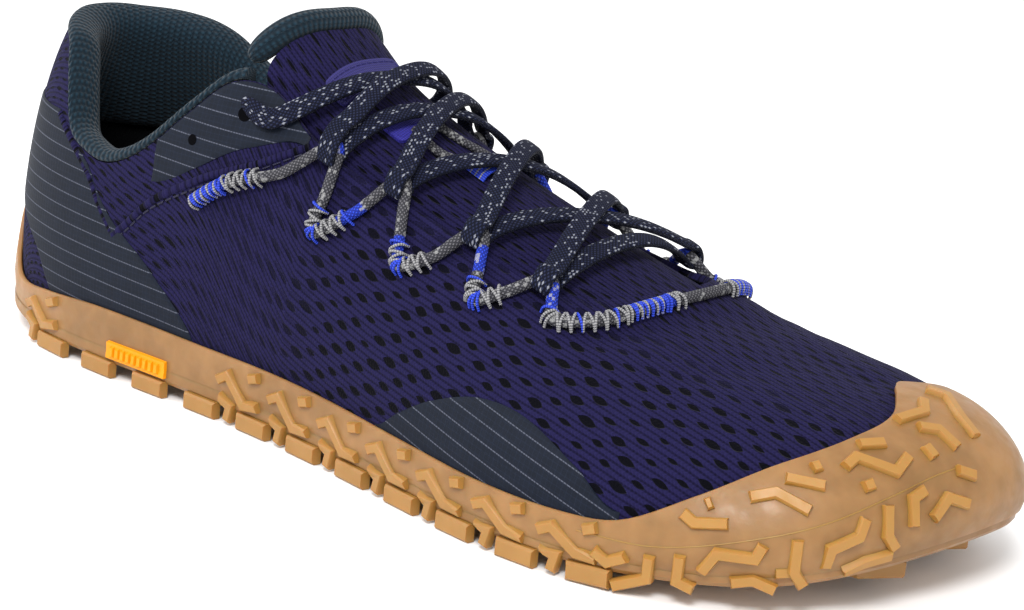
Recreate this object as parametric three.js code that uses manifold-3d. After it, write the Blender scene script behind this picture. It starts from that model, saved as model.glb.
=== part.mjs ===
// A right-foot barefoot trail shoe, empty and unbent, standing on its sole.
// Millimetres. +X is the toe, +Y the inner (big toe) side, +Z up.
import * as THREE from "three";
import { mergeVertices } from "three/addons/utils/BufferGeometryUtils.js";
import Module from "manifold-3d";

const wasm = await Module();
wasm.setup();

// Driving sizes of the upper; its length is an assumed adult size
const LAST_LENGTH = 276; // heel to toe at its lower edge
const BALL_WIDTH = 98; // across the ball at its lower edge
const INSTEP_HEIGHT = 96; // floor to the closed last's top
const SIDE_SWELL = 2.2; // how far the sides stand out above the lower edge
const UPPER_WALL = 2;
const GAP = 0.3; // clearance between pieces that touch
const SOFT_GAP = 0.5; // clearance under padded and sewn pieces, whose facets cross each other's

// Sole
const LUG_HEIGHT = 2.8;
const PLATE_THICKNESS = 4.2;
const TIP_BLUNT = 6; // how far the tip stands back from LAST_LENGTH
const TOE_SPRING = 11;
const WALL_FOOT = 3.1; // side wall's thickness at the plate
const WALL_EDGE = 1.1; // side wall's thickness at its upper edge
const WALL_TUCK = 2.6; // how far the side wall turns in under the plate
const SHELL_STEP = 9.8; // height of the side wall's facets
const BUMPER_HEIGHT = 40; // girth of the toe bumper, from the plate over the big toe
const RIB_HEIGHT = 1.3; // how far ribs stand out of the side wall
const RIB_WIDTH = 2.4;
const EDGE_LUG_WIDTH = 4;
const RIB_ROOT = 1.6; // how deep ribs and lugs are rooted in the rubber
const RIB_PITCH = 18;
const LUG_PITCH = 24;
const LUG_SPREAD = 27;
const LUG_WIDTH = 18;
const LUG_ARM = 7;
const LUG_SWEEP = 6;
const LUG_MARGIN = 11; // from a lug's centre to the sole's edge, at least
const LUG_ENDS = 0.03; // share of the length left free at heel and toe
const INSOLE_THICKNESS = 3;

// Lining, tongue and overlays
const LINING_DEPTH = 30;
const LINING_PAD = 7;
const TONGUE_THICKNESS = 2.5;
const TONGUE_HALF_WIDTH = 35;
const TONGUE_RIM_RADIUS = 3.3;
const TONGUE_RIM_REACH = 31.5;
const FILM_THICKNESS = 0.6;
const LABEL_THICKNESS = 0.9;
const CORD_DIAMETER = 2.6;
const LACE_WIDTH = 5;
const LACE_THICKNESS = 1.9;
const BADGE_LENGTH = 21;
const BADGE_HEIGHT = 5;
const BADGE_THICKNESS = 1;
const BADGE_AT = 0.253; // share along the outer side
const BADGE_RISE = 0.6; // its middle above the plate's top

// The last from heel (0) to toe (1). outer, inner and crest are shares of BALL_WIDTH, ridge of
// INSTEP_HEIGHT and sole of TOE_SPRING. square is the squareness of the cross section.
const LAST = [
  { at: 0.0, outer: 0.0, inner: 0.0, crest: 0.0, ridge: 0.99, square: 2.75, sole: 0.3 },
  { at: 0.02, outer: 0.155, inner: 0.155, crest: 0.0, ridge: 0.99, square: 2.75, sole: 0.2 },
  { at: 0.06, outer: 0.25, inner: 0.25, crest: 0.0, ridge: 1.0, square: 2.8, sole: 0.05 },
  { at: 0.12, outer: 0.31, inner: 0.31, crest: 0.0, ridge: 1.0, square: 2.9, sole: 0.0 },
  { at: 0.2, outer: 0.34, inner: 0.33, crest: 0.0, ridge: 1.02, square: 3.0, sole: 0.0 },
  { at: 0.3, outer: 0.352, inner: 0.315, crest: 0.0, ridge: 1.04, square: 3.0, sole: 0.0 },
  { at: 0.4, outer: 0.37, inner: 0.3, crest: 0.0, ridge: 0.86, square: 2.6, sole: 0.0 },
  { at: 0.5, outer: 0.41, inner: 0.32, crest: 0.0, ridge: 0.74, square: 2.3, sole: 0.0 },
  { at: 0.6, outer: 0.465, inner: 0.385, crest: 0.01, ridge: 0.635, square: 2.2, sole: 0.0 },
  { at: 0.68, outer: 0.505, inner: 0.45, crest: 0.03, ridge: 0.55, square: 2.2, sole: 0.0 },
  { at: 0.76, outer: 0.508, inner: 0.492, crest: 0.06, ridge: 0.472, square: 2.3, sole: 0.0 },
  { at: 0.84, outer: 0.455, inner: 0.5, crest: 0.1, ridge: 0.41, square: 2.4, sole: 0.1 },
  { at: 0.9, outer: 0.365, inner: 0.47, crest: 0.13, ridge: 0.378, square: 2.4, sole: 0.27 },
  { at: 0.95, outer: 0.235, inner: 0.4, crest: 0.14, ridge: 0.36, square: 2.4, sole: 0.6 },
  { at: 0.985, outer: 0.06, inner: 0.3, crest: 0.15, ridge: 0.35, square: 2.4, sole: 0.95 },
  { at: 1.0, outer: -0.17, inner: 0.17, crest: 0.15, ridge: 0.35, square: 2.4, sole: 1.05 },
];
// Where the crest gathers to a centre behind and in front, as shares of length
const HEEL_FAN = { from: 0.25, centre: 0.13 };
const TOE_FAN = { from: 0.7, centre: 0.87 };

// The upper's top edge along collar and throat, as shares of the section's girth
const TOP_EDGE = [
  { at: 0.0, outer: 0.675, inner: 0.675 },
  { at: 0.02, outer: 0.675, inner: 0.68 },
  { at: 0.05, outer: 0.665, inner: 0.685 },
  { at: 0.075, outer: 0.64, inner: 0.68 },
  { at: 0.1, outer: 0.565, inner: 0.665 },
  { at: 0.125, outer: 0.46, inner: 0.635 },
  { at: 0.15, outer: 0.425, inner: 0.585 },
  { at: 0.185, outer: 0.41, inner: 0.53 },
  { at: 0.23, outer: 0.455, inner: 0.52 },
  { at: 0.28, outer: 0.56, inner: 0.58 },
  { at: 0.32, outer: 0.66, inner: 0.66 },
  { at: 0.36, outer: 0.7, inner: 0.69 },
  { at: 0.4, outer: 0.675, inner: 0.66 },
  { at: 0.45, outer: 0.66, inner: 0.64 },
  { at: 0.55, outer: 0.66, inner: 0.64 },
  { at: 0.64, outer: 0.64, inner: 0.63 },
  { at: 1.0, outer: 0.64, inner: 0.63 },
];
const THROAT = { curveFrom: 0.65, front: 0.715 };

// The rubber's upper edge, as shares of BUMPER_HEIGHT
const RUBBER_EDGE = [
  { at: 0.0, outer: 0.67, inner: 0.67 },
  { at: 0.012, outer: 0.5, inner: 0.5 },
  { at: 0.035, outer: 0.22, inner: 0.22 },
  { at: 0.066, outer: 0.16, inner: 0.16 },
  { at: 0.12, outer: 0.2, inner: 0.2 },
  { at: 0.2, outer: 0.24, inner: 0.24 },
  { at: 0.33, outer: 0.23, inner: 0.24 },
  { at: 0.45, outer: 0.23, inner: 0.24 },
  { at: 0.573, outer: 0.2, inner: 0.22 },
  { at: 0.68, outer: 0.175, inner: 0.2 },
  { at: 0.757, outer: 0.175, inner: 0.2 },
  { at: 0.805, outer: 0.2, inner: 0.22 },
  { at: 0.854, outer: 0.375, inner: 0.32 },
  { at: 0.898, outer: 0.57, inner: 0.52 },
  { at: 0.94, outer: 0.68, inner: 0.8 },
  { at: 0.976, outer: 0.75, inner: 0.98 },
  { at: 0.99, outer: 0.86, inner: 1.0 },
  { at: 1.0, outer: 0.95, inner: 0.95 },
];

// Facets: columns round the last, even and finer where the throat closes, and rows up its side
const EVEN_COLUMNS = 52;
const THROAT_COLUMNS = [0.5, 0.8, 0.94, 1];
const WALL_ROWS = 7;
const SECTION_STEPS = 48;
const CORD_SIDES = 6;
const BRAID_STEPS = 6;
const FACET_TOLERANCE = 0.02;
const SAME_POINT = 1e-4;
const FACETS = { eyeletCord: 76, keeperCord: 18, tongueRim: 14, rimPoints: 5 };

const v3 = (x, y, z) => new THREE.Vector3(x, y, z);
const clamp = THREE.MathUtils.clamp;

// Cubic through the knots {t, y}, with Catmull-Rom slopes
function through(knots, t) {
  let i = 1;
  while (i < knots.length - 3 && knots[i + 1].t < t) i++;
  const [a, b, c, d] = knots.slice(i - 1, i + 3);
  const span = c.t - b.t;
  const slopeB = ((c.y - a.y) / (c.t - a.t)) * span;
  const slopeC = ((d.y - b.y) / (d.t - b.t)) * span;
  const s = (t - b.t) / span;
  const square = 3 * (c.y - b.y) - 2 * slopeB - slopeC;
  const cube = 2 * (b.y - c.y) + slopeB + slopeC;
  return b.y + s * (slopeB + s * (square + s * cube));
}

const angleAt = (share) => Math.acos(1 - 2 * share);
const shareAt = (theta) => (1 - Math.cos(theta)) / 2;
const outerAt = (share) => angleAt(share);
const innerAt = (share) => 2 * Math.PI - angleAt(share);

// A table round the shoe: the angle is 0 at the heel and pi at the toe, the outer side first
function roundTable(rows, outer, inner) {
  const there = rows.map((r) => ({ t: outerAt(r.at), y: outer(r) }));
  const back = rows.slice(1, -1).reverse().map((r) => ({ t: innerAt(r.at), y: inner(r) }));
  const ring = [...there, ...back];
  const before = ring.slice(-2).map((k) => ({ t: k.t - 2 * Math.PI, y: k.y }));
  const after = ring.slice(0, 3).map((k) => ({ t: k.t + 2 * Math.PI, y: k.y }));
  return [...before, ...ring, ...after];
}

// A table along the shoe, level beyond its ends
function lengthTable(rows, column) {
  const knots = rows.map((r) => ({ t: r.at, y: r[column] }));
  const [first, last] = [knots[0], knots.at(-1)];
  const beyond = [1, 2].map((step) => ({ t: last.t + step, y: last.y }));
  return [{ t: first.t - 1, y: first.y }, ...knots, ...beyond];
}

const OUTLINE = roundTable(LAST, (r) => -r.outer * BALL_WIDTH, (r) => r.inner * BALL_WIDTH);
const TOP_SHARE = roundTable(TOP_EDGE, (r) => r.outer, (r) => r.inner);
const RUBBER_TOP = roundTable(RUBBER_EDGE, (r) => r.outer * BUMPER_HEIGHT, (r) => r.inner * BUMPER_HEIGHT);
const CREST = lengthTable(LAST, "crest");
const RIDGE = lengthTable(LAST, "ridge");
const SQUARE = lengthTable(LAST, "square");
const SOLE = lengthTable(LAST, "sole");

const TIP_FROM = 0.9; // share of length where the tip's rounding starts
const xAt = (share) => (share - 0.5) * LAST_LENGTH - TIP_BLUNT * THREE.MathUtils.smoothstep(share, TIP_FROM, 1);
const shareOfX = (x) => clamp(x / LAST_LENGTH + 0.5, 0, 1);
const treadZ = (x) => Math.max(through(SOLE, shareOfX(x)), 0) * TOE_SPRING;
const footbedZ = (x) => treadZ(x) + LUG_HEIGHT + PLATE_THICKNESS;

// The crest's share for a share of the outline: the same along the middle, gathered to a centre at both ends
function crestShare(share) {
  if (share > TOE_FAN.from) {
    const [rest, reach] = [1 - TOE_FAN.from, TOE_FAN.centre - TOE_FAN.from];
    return TOE_FAN.from + reach * (1 - (1 - (share - TOE_FAN.from) / rest) ** (rest / reach));
  }
  if (share < HEEL_FAN.from) {
    const [rest, reach] = [HEEL_FAN.from, HEEL_FAN.from - HEEL_FAN.centre];
    return HEEL_FAN.from - reach * (1 - (1 - (HEEL_FAN.from - share) / rest) ** (rest / reach));
  }
  return share;
}

function crestPoint(share) {
  const c = crestShare(share);
  return v3(xAt(c), through(CREST, c) * BALL_WIDTH, through(RIDGE, c) * INSTEP_HEIGHT);
}

// One side of a cross section, from the lower edge to the crest, with its girth
const sections = new Map();
function sectionAt(theta) {
  const key = theta.toFixed(6);
  if (sections.has(key)) return sections.get(key);
  const share = shareAt(theta);
  const top = crestPoint(share);
  const foot = v3(xAt(share), through(OUTLINE, theta), footbedZ(xAt(share)));
  const outward = v3(foot.x - top.x, foot.y - top.y, 0).normalize();
  const power = 2 / through(SQUARE, share);
  const points = [];
  const girth = [];
  for (let i = 0; i <= SECTION_STEPS; i++) {
    const turn = (Math.PI / 2) * (i / SECTION_STEPS);
    const reach = i === SECTION_STEPS ? 0 : Math.cos(turn) ** power;
    const rise = Math.sin(turn) ** power;
    const p = v3(top.x, top.y, 0).lerp(v3(foot.x, foot.y, 0), reach);
    p.setZ(foot.z + (top.z - foot.z) * rise);
    p.addScaledVector(outward, SIDE_SWELL * Math.sin(Math.PI * Math.sqrt(rise)) * reach);
    girth.push(i ? girth[i - 1] + p.distanceTo(points[i - 1]) : 0);
    points.push(p);
  }
  const made = { points, girth, total: girth.at(-1) };
  sections.set(key, made);
  return made;
}

function onSection(theta, up) {
  const { points, girth, total } = sectionAt(theta);
  if (up <= 0) return points[0].clone().setZ(points[0].z + up);
  if (up >= total) return points.at(-1).clone();
  let i = 1;
  while (girth[i] < up) i++;
  return points[i - 1].clone().lerp(points[i], (up - girth[i - 1]) / (girth[i] - girth[i - 1]));
}

const girthAt = (theta) => sectionAt(theta).total;

// Outward normal of the last: level below the lower edge, square to the crest line on the crest
const NORMAL_TURN = 0.012;
const NORMAL_LIFT = 0.8;
const CREST_BAND = 0.01;
function normalAt(theta, up) {
  const [turn, lift] = [NORMAL_TURN, NORMAL_LIFT];
  if (up >= girthAt(theta) - CREST_BAND) {
    const c = crestShare(shareAt(theta));
    const slope = (through(RIDGE, c + turn) - through(RIDGE, c - turn)) * INSTEP_HEIGHT;
    return v3(-slope, 0, 2 * turn * LAST_LENGTH).normalize();
  }
  const along = onSection(theta + turn, up).sub(onSection(theta - turn, up));
  const rise = onSection(theta, up + lift).sub(onSection(theta, Math.max(up - lift, 0)));
  if (up <= 0) rise.set(0, 0, 1);
  return along.cross(rise).normalize();
}

// A point of the last's surface: up is the girth from the lower edge, out the distance off the surface
const skin = (theta, up, out) => onSection(theta, up).addScaledVector(normalAt(theta, up), out);

// A point by its share along the shoe and its signed girth from the crest, negative on the outer side
function overCrest(share, side, out) {
  const theta = side < 0 ? outerAt(share) : innerAt(share);
  return skin(theta, girthAt(theta) - Math.abs(side), out);
}

// The share of its girth where the upper ends; the throat closes forward in a quarter ellipse
function topShare(theta) {
  const share = shareAt(theta);
  if (share >= THROAT.front - 1e-9) return 1;
  const open = through(TOP_SHARE, theta);
  const t = clamp((share - THROAT.curveFrom) / (THROAT.front - THROAT.curveFrom), 0, 1);
  return open + (1 - open) * (1 - Math.sqrt(1 - t * t));
}

const topOf = (theta) => topShare(theta) * girthAt(theta);

function columnAngles() {
  const even = Array.from({ length: EVEN_COLUMNS }, (_, j) => (2 * Math.PI * j) / EVEN_COLUMNS);
  const shares = THROAT_COLUMNS.map((t) => THROAT.curveFrom + t * (THROAT.front - THROAT.curveFrom));
  const extra = shares.flatMap((s) => [outerAt(s), innerAt(s)]);
  const apart = Math.PI / EVEN_COLUMNS / 2;
  const kept = even.filter((a) => extra.every((b) => Math.abs(a - b) > apart));
  return [...kept, ...extra].sort((a, b) => a - b);
}

const COLUMNS = columnAngles();

// Facets are gathered as loose triangles, then merged
function gather() {
  const positions = [];
  const tri = (a, b, c) => positions.push(...a, ...b, ...c);
  const quad = (a, b, c, d) => {
    tri(a, b, c);
    tri(a, c, d);
  };
  return { positions, tri, quad };
}

function mergedGeometry(positions) {
  const loose = new THREE.BufferGeometry();
  loose.setAttribute("position", new THREE.Float32BufferAttribute(positions, 3));
  const merged = mergeVertices(loose, SAME_POINT);
  const index = merged.index.array;
  const kept = [];
  for (let i = 0; i < index.length; i += 3) {
    const [a, b, c] = index.slice(i, i + 3);
    if (a !== b && b !== c && c !== a) kept.push(a, b, c);
  }
  merged.setIndex(kept);
  return merged;
}

// Rings of equally many points, joined one to the next; ends are closed by fans unless the rings close round
function loft(rings, { round = false, skip = () => false, mirrored = () => false } = {}) {
  const { positions, tri, quad } = gather();
  const count = rings[0].length;
  const last = round ? rings.length : rings.length - 1;
  for (let j = 0; j < last; j++) {
    const [ring, next] = [rings[j], rings[(j + 1) % rings.length]];
    for (let i = 0; i < count; i++) {
      const k = (i + 1) % count;
      if (skip(j, i)) continue;
      if (mirrored(j)) quad(next[i], next[k], ring[k], ring[i]);
      else quad(ring[i], next[i], next[k], ring[k]);
    }
  }
  if (!round) {
    for (const [ring, flip] of [[rings[0], false], [rings.at(-1), true]]) {
      const middle = ring.reduce((sum, p) => sum.add(v3(...p)), v3(0, 0, 0)).divideScalar(count);
      for (let i = 0; i < count; i++) {
        const [a, b] = [ring[i], ring[(i + 1) % count]];
        const [from, to] = flip ? [b, a] : [a, b];
        tri([...middle], from, to);
      }
    }
  }
  return mergedGeometry(positions);
}

// Solids for joining and cutting
function solidOf(geometry) {
  const bare = geometry.clone();
  const others = Object.keys(bare.attributes).filter((name) => name !== "position");
  others.forEach((name) => bare.deleteAttribute(name));
  const merged = mergeVertices(bare, SAME_POINT);
  const mesh = new wasm.Mesh({
    numProp: 3,
    vertProperties: new Float32Array(merged.attributes.position.array),
    triVerts: new Uint32Array(merged.index.array),
  });
  return new wasm.Manifold(mesh);
}

function geometryOf(solid) {
  const mesh = solid.getMesh();
  const geometry = new THREE.BufferGeometry();
  const position = new THREE.Float32BufferAttribute(mesh.vertProperties, mesh.numProp);
  geometry.setAttribute("position", position);
  geometry.setIndex(new THREE.Uint32BufferAttribute(mesh.triVerts, 1));
  return geometry;
}

// A hollow wall between two offsets, open at collar, throat and underneath
function wallBetween(low, high, foot = 0, head = 0) {
  const rings = COLUMNS.map((theta) => {
    const rows = Array.from({ length: WALL_ROWS + 1 }, (_, i) => (topOf(theta) * i) / WALL_ROWS);
    rows[0] = foot;
    rows[WALL_ROWS] += head;
    const outside = rows.map((up) => [...skin(theta, up, high)]);
    const inside = rows.map((up) => [...skin(theta, up, low)]);
    return [...outside, ...inside.reverse()];
  });
  const closed = (j) => topShare(COLUMNS[j % COLUMNS.length]) === 1;
  const skip = (j, i) => i === WALL_ROWS && closed(j) && closed(j + 1);
  return loft(rings, { round: true, skip, mirrored: (j) => COLUMNS[j] >= Math.PI });
}

// The rubber wall's outer face, thinner towards its upper edge
function wallOut(theta, up) {
  const share = clamp(up / through(RUBBER_TOP, theta), 0, 1);
  return GAP + WALL_FOOT + (WALL_EDGE - WALL_FOOT) * share;
}

const onWall = (theta, up, proud) => skin(theta, up, wallOut(theta, up) + proud);

// Heights of the side wall's rows, which run together where the wall is low
const SHELL_ROWS = Math.ceil(BUMPER_HEIGHT / SHELL_STEP);
const shellHeights = (top) => Array.from({ length: SHELL_ROWS }, (_, i) => Math.min(top, SHELL_STEP * i));
const WALL_SINK = 1.5 * GAP; // how far the room for the upper goes down into the plate
const PLATE_SHOULDER = 0.6; // share of the plate's thickness where its side turns in

function makeShell() {
  const inset = -UPPER_WALL / 2;
  const rings = COLUMNS.map((theta) => {
    const share = shareAt(theta);
    const spine = crestPoint(share);
    const top = through(RUBBER_TOP, theta);
    const heights = shellHeights(top);
    const inside = [...heights.slice(1), top].map((up) => [...skin(theta, up, inset)]);
    const outside = [top, ...heights.reverse()].map((up) => [...onWall(theta, up, 0)]);
    const seat = skin(theta, 0, inset);
    const tuck = skin(theta, 0, GAP + WALL_FOOT - WALL_TUCK);
    return [
      [spine.x, spine.y, footbedZ(spine.x) - GAP],
      [seat.x, seat.y, seat.z - GAP],
      ...inside,
      ...outside,
      [...onWall(theta, -PLATE_THICKNESS * PLATE_SHOULDER, 0)],
      [tuck.x, tuck.y, tuck.z - PLATE_THICKNESS],
      [spine.x, spine.y, treadZ(spine.x) + LUG_HEIGHT],
    ];
  });
  const { positions, quad } = gather();
  rings.forEach((ring, j) => {
    const next = rings[(j + 1) % rings.length];
    for (let i = 0; i + 1 < ring.length; i++) quad(ring[i], ring[i + 1], next[i + 1], next[i]);
  });
  return mergedGeometry(positions);
}

// A strip of rib along a path of [angle, girth] points on the rubber wall
const RIB_TAPER = 0.8; // its crown's width, as a share of its root's
const RIB_MITRE = 0.6; // how sharp its corners may run, at most
function rib(path, width = RIB_WIDTH) {
  const points = path.map(([theta, up]) => ({ at: onWall(theta, up, 0), n: normalAt(theta, up) }));
  const rings = points.map((p, i) => {
    const before = (points[i - 1] ?? p).at;
    const after = (points[i + 1] ?? p).at;
    const arriving = p.at.clone().sub(before).normalize();
    const leaving = after.clone().sub(p.at).normalize();
    const along = arriving.clone().add(leaving).normalize();
    const across = along.clone().cross(p.n).normalize();
    const inside = arriving.lengthSq() && leaving.lengthSq();
    const spread = inside ? Math.sqrt((1 + arriving.dot(leaving)) / 2) : 1;
    const reach = width / 2 / Math.max(spread, RIB_MITRE);
    const corner = (side, out) => {
      const moved = p.at.clone().addScaledVector(across, side * reach);
      return [...moved.addScaledVector(p.n, out)];
    };
    const root = [corner(-1, -RIB_ROOT), corner(1, -RIB_ROOT)];
    return [...root, corner(RIB_TAPER, RIB_HEIGHT), corner(-RIB_TAPER, RIB_HEIGHT)];
  });
  return loft(rings);
}

// Steps along the wall from an angle, in millimetres
function stepAlong(theta, distance) {
  const [ahead, behind] = [theta + NORMAL_TURN, theta - NORMAL_TURN];
  const rate = skin(ahead, 0, WALL_FOOT).distanceTo(skin(behind, 0, WALL_FOOT)) / (ahead - behind);
  return theta + distance / rate;
}

// Rib shapes of one repeat along the sides: along in shares of RIB_PITCH, up in shares of the wall's
// height there, and down in shares of plate and lugs
const SIDE_RIBS = [
  [[0.0, 0.46], [0.18, 0.62], [0.5, -0.11], [0.78, 0.17]],
  [[0.02, 0.05], [0.25, -0.33], [0.2, -0.9]],
];
// The lug under each, along the sole's edge
const EDGE_LUG = [[0.4, -0.69], [0.97, -0.69]];
const SIDE_RUN = { from: 0.09, to: 0.78 };

// Ribs of the toe bumper's outer side: paths of [share along the shoe, girth in shares of BUMPER_HEIGHT]
const TOE_RIBS = [
  [[0.847, 0.28], [0.856, 0.24], [0.877, 0.245]],
  [[0.885, 0.37], [0.9, 0.39], [0.922, 0.29]],
  [[0.903, 0.465], [0.929, 0.4]],
  [[0.94, 0.485], [0.947, 0.53], [0.97, 0.395], [0.977, 0.455]],
  [[0.948, 0.61], [0.966, 0.57]],
  [[0.977, 0.69], [0.993, 0.66], [0.997, 0.73]],
  [[0.986, 0.59], [0.9925, 0.53], [0.9945, 0.41]],
  [[0.985, 0.48], [0.987, 0.4]],
  [[0.952, 0.36], [0.958, 0.365]],
  [[0.992, 0.315], [0.9955, 0.265]],
  [[0.79, 0.06], [0.8, -0.03], [0.815, 0.06]],
  [[0.831, 0.08], [0.829, -0.08], [0.805, -0.15]],
  [[0.851, 0.1], [0.849, -0.07], [0.86, -0.105]],
  [[0.864, 0.05], [0.873, 0.12], [0.895, 0.105], [0.899, 0.16]],
  [[0.917, 0.175], [0.916, 0.055], [0.922, -0.09]],
  [[0.933, -0.005], [0.936, 0.12], [0.951, 0.15], [0.954, 0.22]],
  [[0.965, 0.255], [0.965, 0.13], [0.969, 0.075]],
  [[0.976, 0.14], [0.976, 0.255], [0.981, 0.275]],
  [[0.983, 0.15], [0.988, 0.215], [0.993, 0.165]],
  [[0.881, -0.053], [0.894, -0.038], [0.907, -0.095]],
  [[0.944, 0.03], [0.955, 0.05], [0.968, 0.055]],
];
const TIP_RIB = [
  { at: 0.999, up: 0.82, angleOf: innerAt },
  { at: 0.998, up: 0.72, angleOf: innerAt },
  { at: 0.9995, up: 0.56, angleOf: outerAt },
  { at: 0.999, up: 0.43, angleOf: outerAt },
];

// Half the angle that the badge takes, with half a repeat of ribs
const badgeTurn = () => stepAlong(outerAt(BADGE_AT), (BADGE_LENGTH + RIB_PITCH) / 2) - outerAt(BADGE_AT);

// The ribs of one side, repeated along it; facing is 1 on the outer side
function sideRibs(angleOf, shown, facing, width = RIB_WIDTH) {
  const [from, to] = [angleOf(SIDE_RUN.from), angleOf(SIDE_RUN.to)];
  const ribs = [];
  for (let theta = from; (to - theta) * facing > 0; theta = stepAlong(theta, RIB_PITCH * facing)) {
    const middle = stepAlong(theta, (RIB_PITCH / 2) * facing);
    if (width === RIB_WIDTH && facing > 0 && Math.abs(middle - outerAt(BADGE_AT)) < badgeTurn()) continue;
    for (const path of shown) {
      ribs.push(rib(path.map(([along, up]) => {
        const turn = stepAlong(theta, along * RIB_PITCH * facing);
        return [turn, up * (up > 0 ? through(RUBBER_TOP, turn) : PLATE_THICKNESS + LUG_HEIGHT)];
      }), width));
    }
  }
  return ribs;
}

function makeOutsole() {
  const room = wallBetween(-UPPER_WALL - WALL_FOOT, GAP, -WALL_SINK);
  const bumper = [
    ...TOE_RIBS.map((path) => path.map(([share, up]) => [outerAt(share), up * BUMPER_HEIGHT])),
    TIP_RIB.map(({ at, up, angleOf }) => [angleOf(at), up * BUMPER_HEIGHT]),
  ];
  const raised = [
    ...sideRibs(outerAt, SIDE_RIBS, 1),
    ...sideRibs(innerAt, SIDE_RIBS.slice(0, 1), -1),
    ...sideRibs(outerAt, [EDGE_LUG], 1, EDGE_LUG_WIDTH),
    ...sideRibs(innerAt, [EDGE_LUG], -1, EDGE_LUG_WIDTH),
    ...bumper.map((path) => rib(path)),
    ...makeLugs(),
  ];
  const sole = solidOf(makeShell()).subtract(solidOf(room));
  return geometryOf(raised.reduce((sum, one) => sum.add(solidOf(one)), sole).simplify(FACET_TOLERANCE));
}

// Chevron lugs in staggered rows, level under heel and ball and following the toe spring
function makeLugs() {
  const [near, far] = [(-LUG_ARM - LUG_SWEEP) / 2, (LUG_ARM - LUG_SWEEP) / 2];
  const [left, right] = [-LUG_WIDTH / 2, LUG_WIDTH / 2];
  const corners = [[near, left], [far, left], [far + LUG_SWEEP, 0], [far, right], [near, right]];
  corners.push([near + LUG_SWEEP, 0]);
  const shape = new THREE.Shape(corners.map(([x, y]) => new THREE.Vector2(x, y)));
  const lugs = [];
  const rows = Math.floor(LAST_LENGTH / LUG_PITCH / 2);
  for (let row = -rows; row <= rows; row++) {
    const x = row * LUG_PITCH;
    const share = shareOfX(x);
    if (share < LUG_ENDS || share > 1 - LUG_ENDS) continue;
    const [low, high] = [onSection(outerAt(share), 0).y, onSection(innerAt(share), 0).y];
    const middle = (low + high) / 2;
    const across = Math.floor((high - low - 2 * LUG_MARGIN) / LUG_SPREAD);
    for (let i = 0; i <= across; i++) {
      const y = middle + (i - across / 2) * LUG_SPREAD;
      const lug = new THREE.ExtrudeGeometry(shape, { depth: LUG_HEIGHT + RIB_ROOT, bevelEnabled: false });
      if (share < 0.5) lug.rotateZ(Math.PI);
      lug.translate(x, y, treadZ(x));
      lugs.push(lug);
    }
  }
  return lugs;
}

function makeInsole() {
  const out = -UPPER_WALL - GAP;
  const rings = COLUMNS.map((theta) => {
    const spine = crestPoint(shareAt(theta));
    const edge = skin(theta, 0, out);
    const [low, high] = [GAP, GAP + INSOLE_THICKNESS];
    return [
      [spine.x, spine.y, footbedZ(spine.x) + high],
      [edge.x, edge.y, edge.z + high],
      [edge.x, edge.y, edge.z + low],
      [spine.x, spine.y, footbedZ(spine.x) + low],
    ];
  });
  const { positions, quad } = gather();
  rings.forEach((ring, j) => {
    const next = rings[(j + 1) % rings.length];
    for (let i = 0; i + 1 < ring.length; i++) quad(ring[i + 1], next[i + 1], next[i], ring[i]);
  });
  return mergedGeometry(positions);
}

// The collar lining's section: [out, up from the top edge], going round the pad and over the edge
const LINING = {
  end: 0.325,
  profile: [
    { out: -UPPER_WALL - SOFT_GAP, up: -LINING_DEPTH },
    { out: -UPPER_WALL - SOFT_GAP, up: -LINING_DEPTH / 2 },
    { out: -UPPER_WALL - SOFT_GAP, up: SOFT_GAP },
    { out: 0.2, up: SOFT_GAP },
    { out: 0.6, up: 1.6 },
    { out: -0.8, up: 3.2 },
    { out: -UPPER_WALL - LINING_PAD / 2, up: 3 },
    { out: -UPPER_WALL - GAP - LINING_PAD, up: -1.5 },
    { out: -UPPER_WALL - GAP - LINING_PAD, up: -LINING_DEPTH / 2 },
    { out: -UPPER_WALL - GAP - LINING_PAD / 2, up: -LINING_DEPTH },
  ],
};

function makeLining() {
  const turned = COLUMNS.map((t) => (t > Math.PI ? t - 2 * Math.PI : t));
  const angles = turned.filter((t) => Math.abs(t) < outerAt(LINING.end)).sort((a, b) => a - b);
  const rings = angles.map((theta) => {
    const round = theta < 0 ? theta + 2 * Math.PI : theta;
    return LINING.profile.map(({ out, up }) => [...skin(round, topOf(round) + up, out)]);
  });
  const clear = solidOf(wallBetween(-UPPER_WALL - GAP, GAP, 0, GAP));
  return geometryOf(solidOf(loft(rings)).subtract(clear).simplify(FACET_TOLERANCE));
}

// The tongue follows the last under the throat, and stands up behind it
const TONGUE = { back: 0.339, front: 0.735, sag: -0.0246, corner: 0.03, rows: 11, columns: 8 };
const TONGUE_OUT = -UPPER_WALL - 1.6 * SOFT_GAP; // its upper face, off the last

function tongueRimShare(side) {
  return TONGUE.back + TONGUE.sag * (side / TONGUE_RIM_REACH) ** 2;
}

const tongueRimPoint = (side) => overCrest(tongueRimShare(side), side, TONGUE_OUT - TONGUE_THICKNESS / 2);

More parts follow.
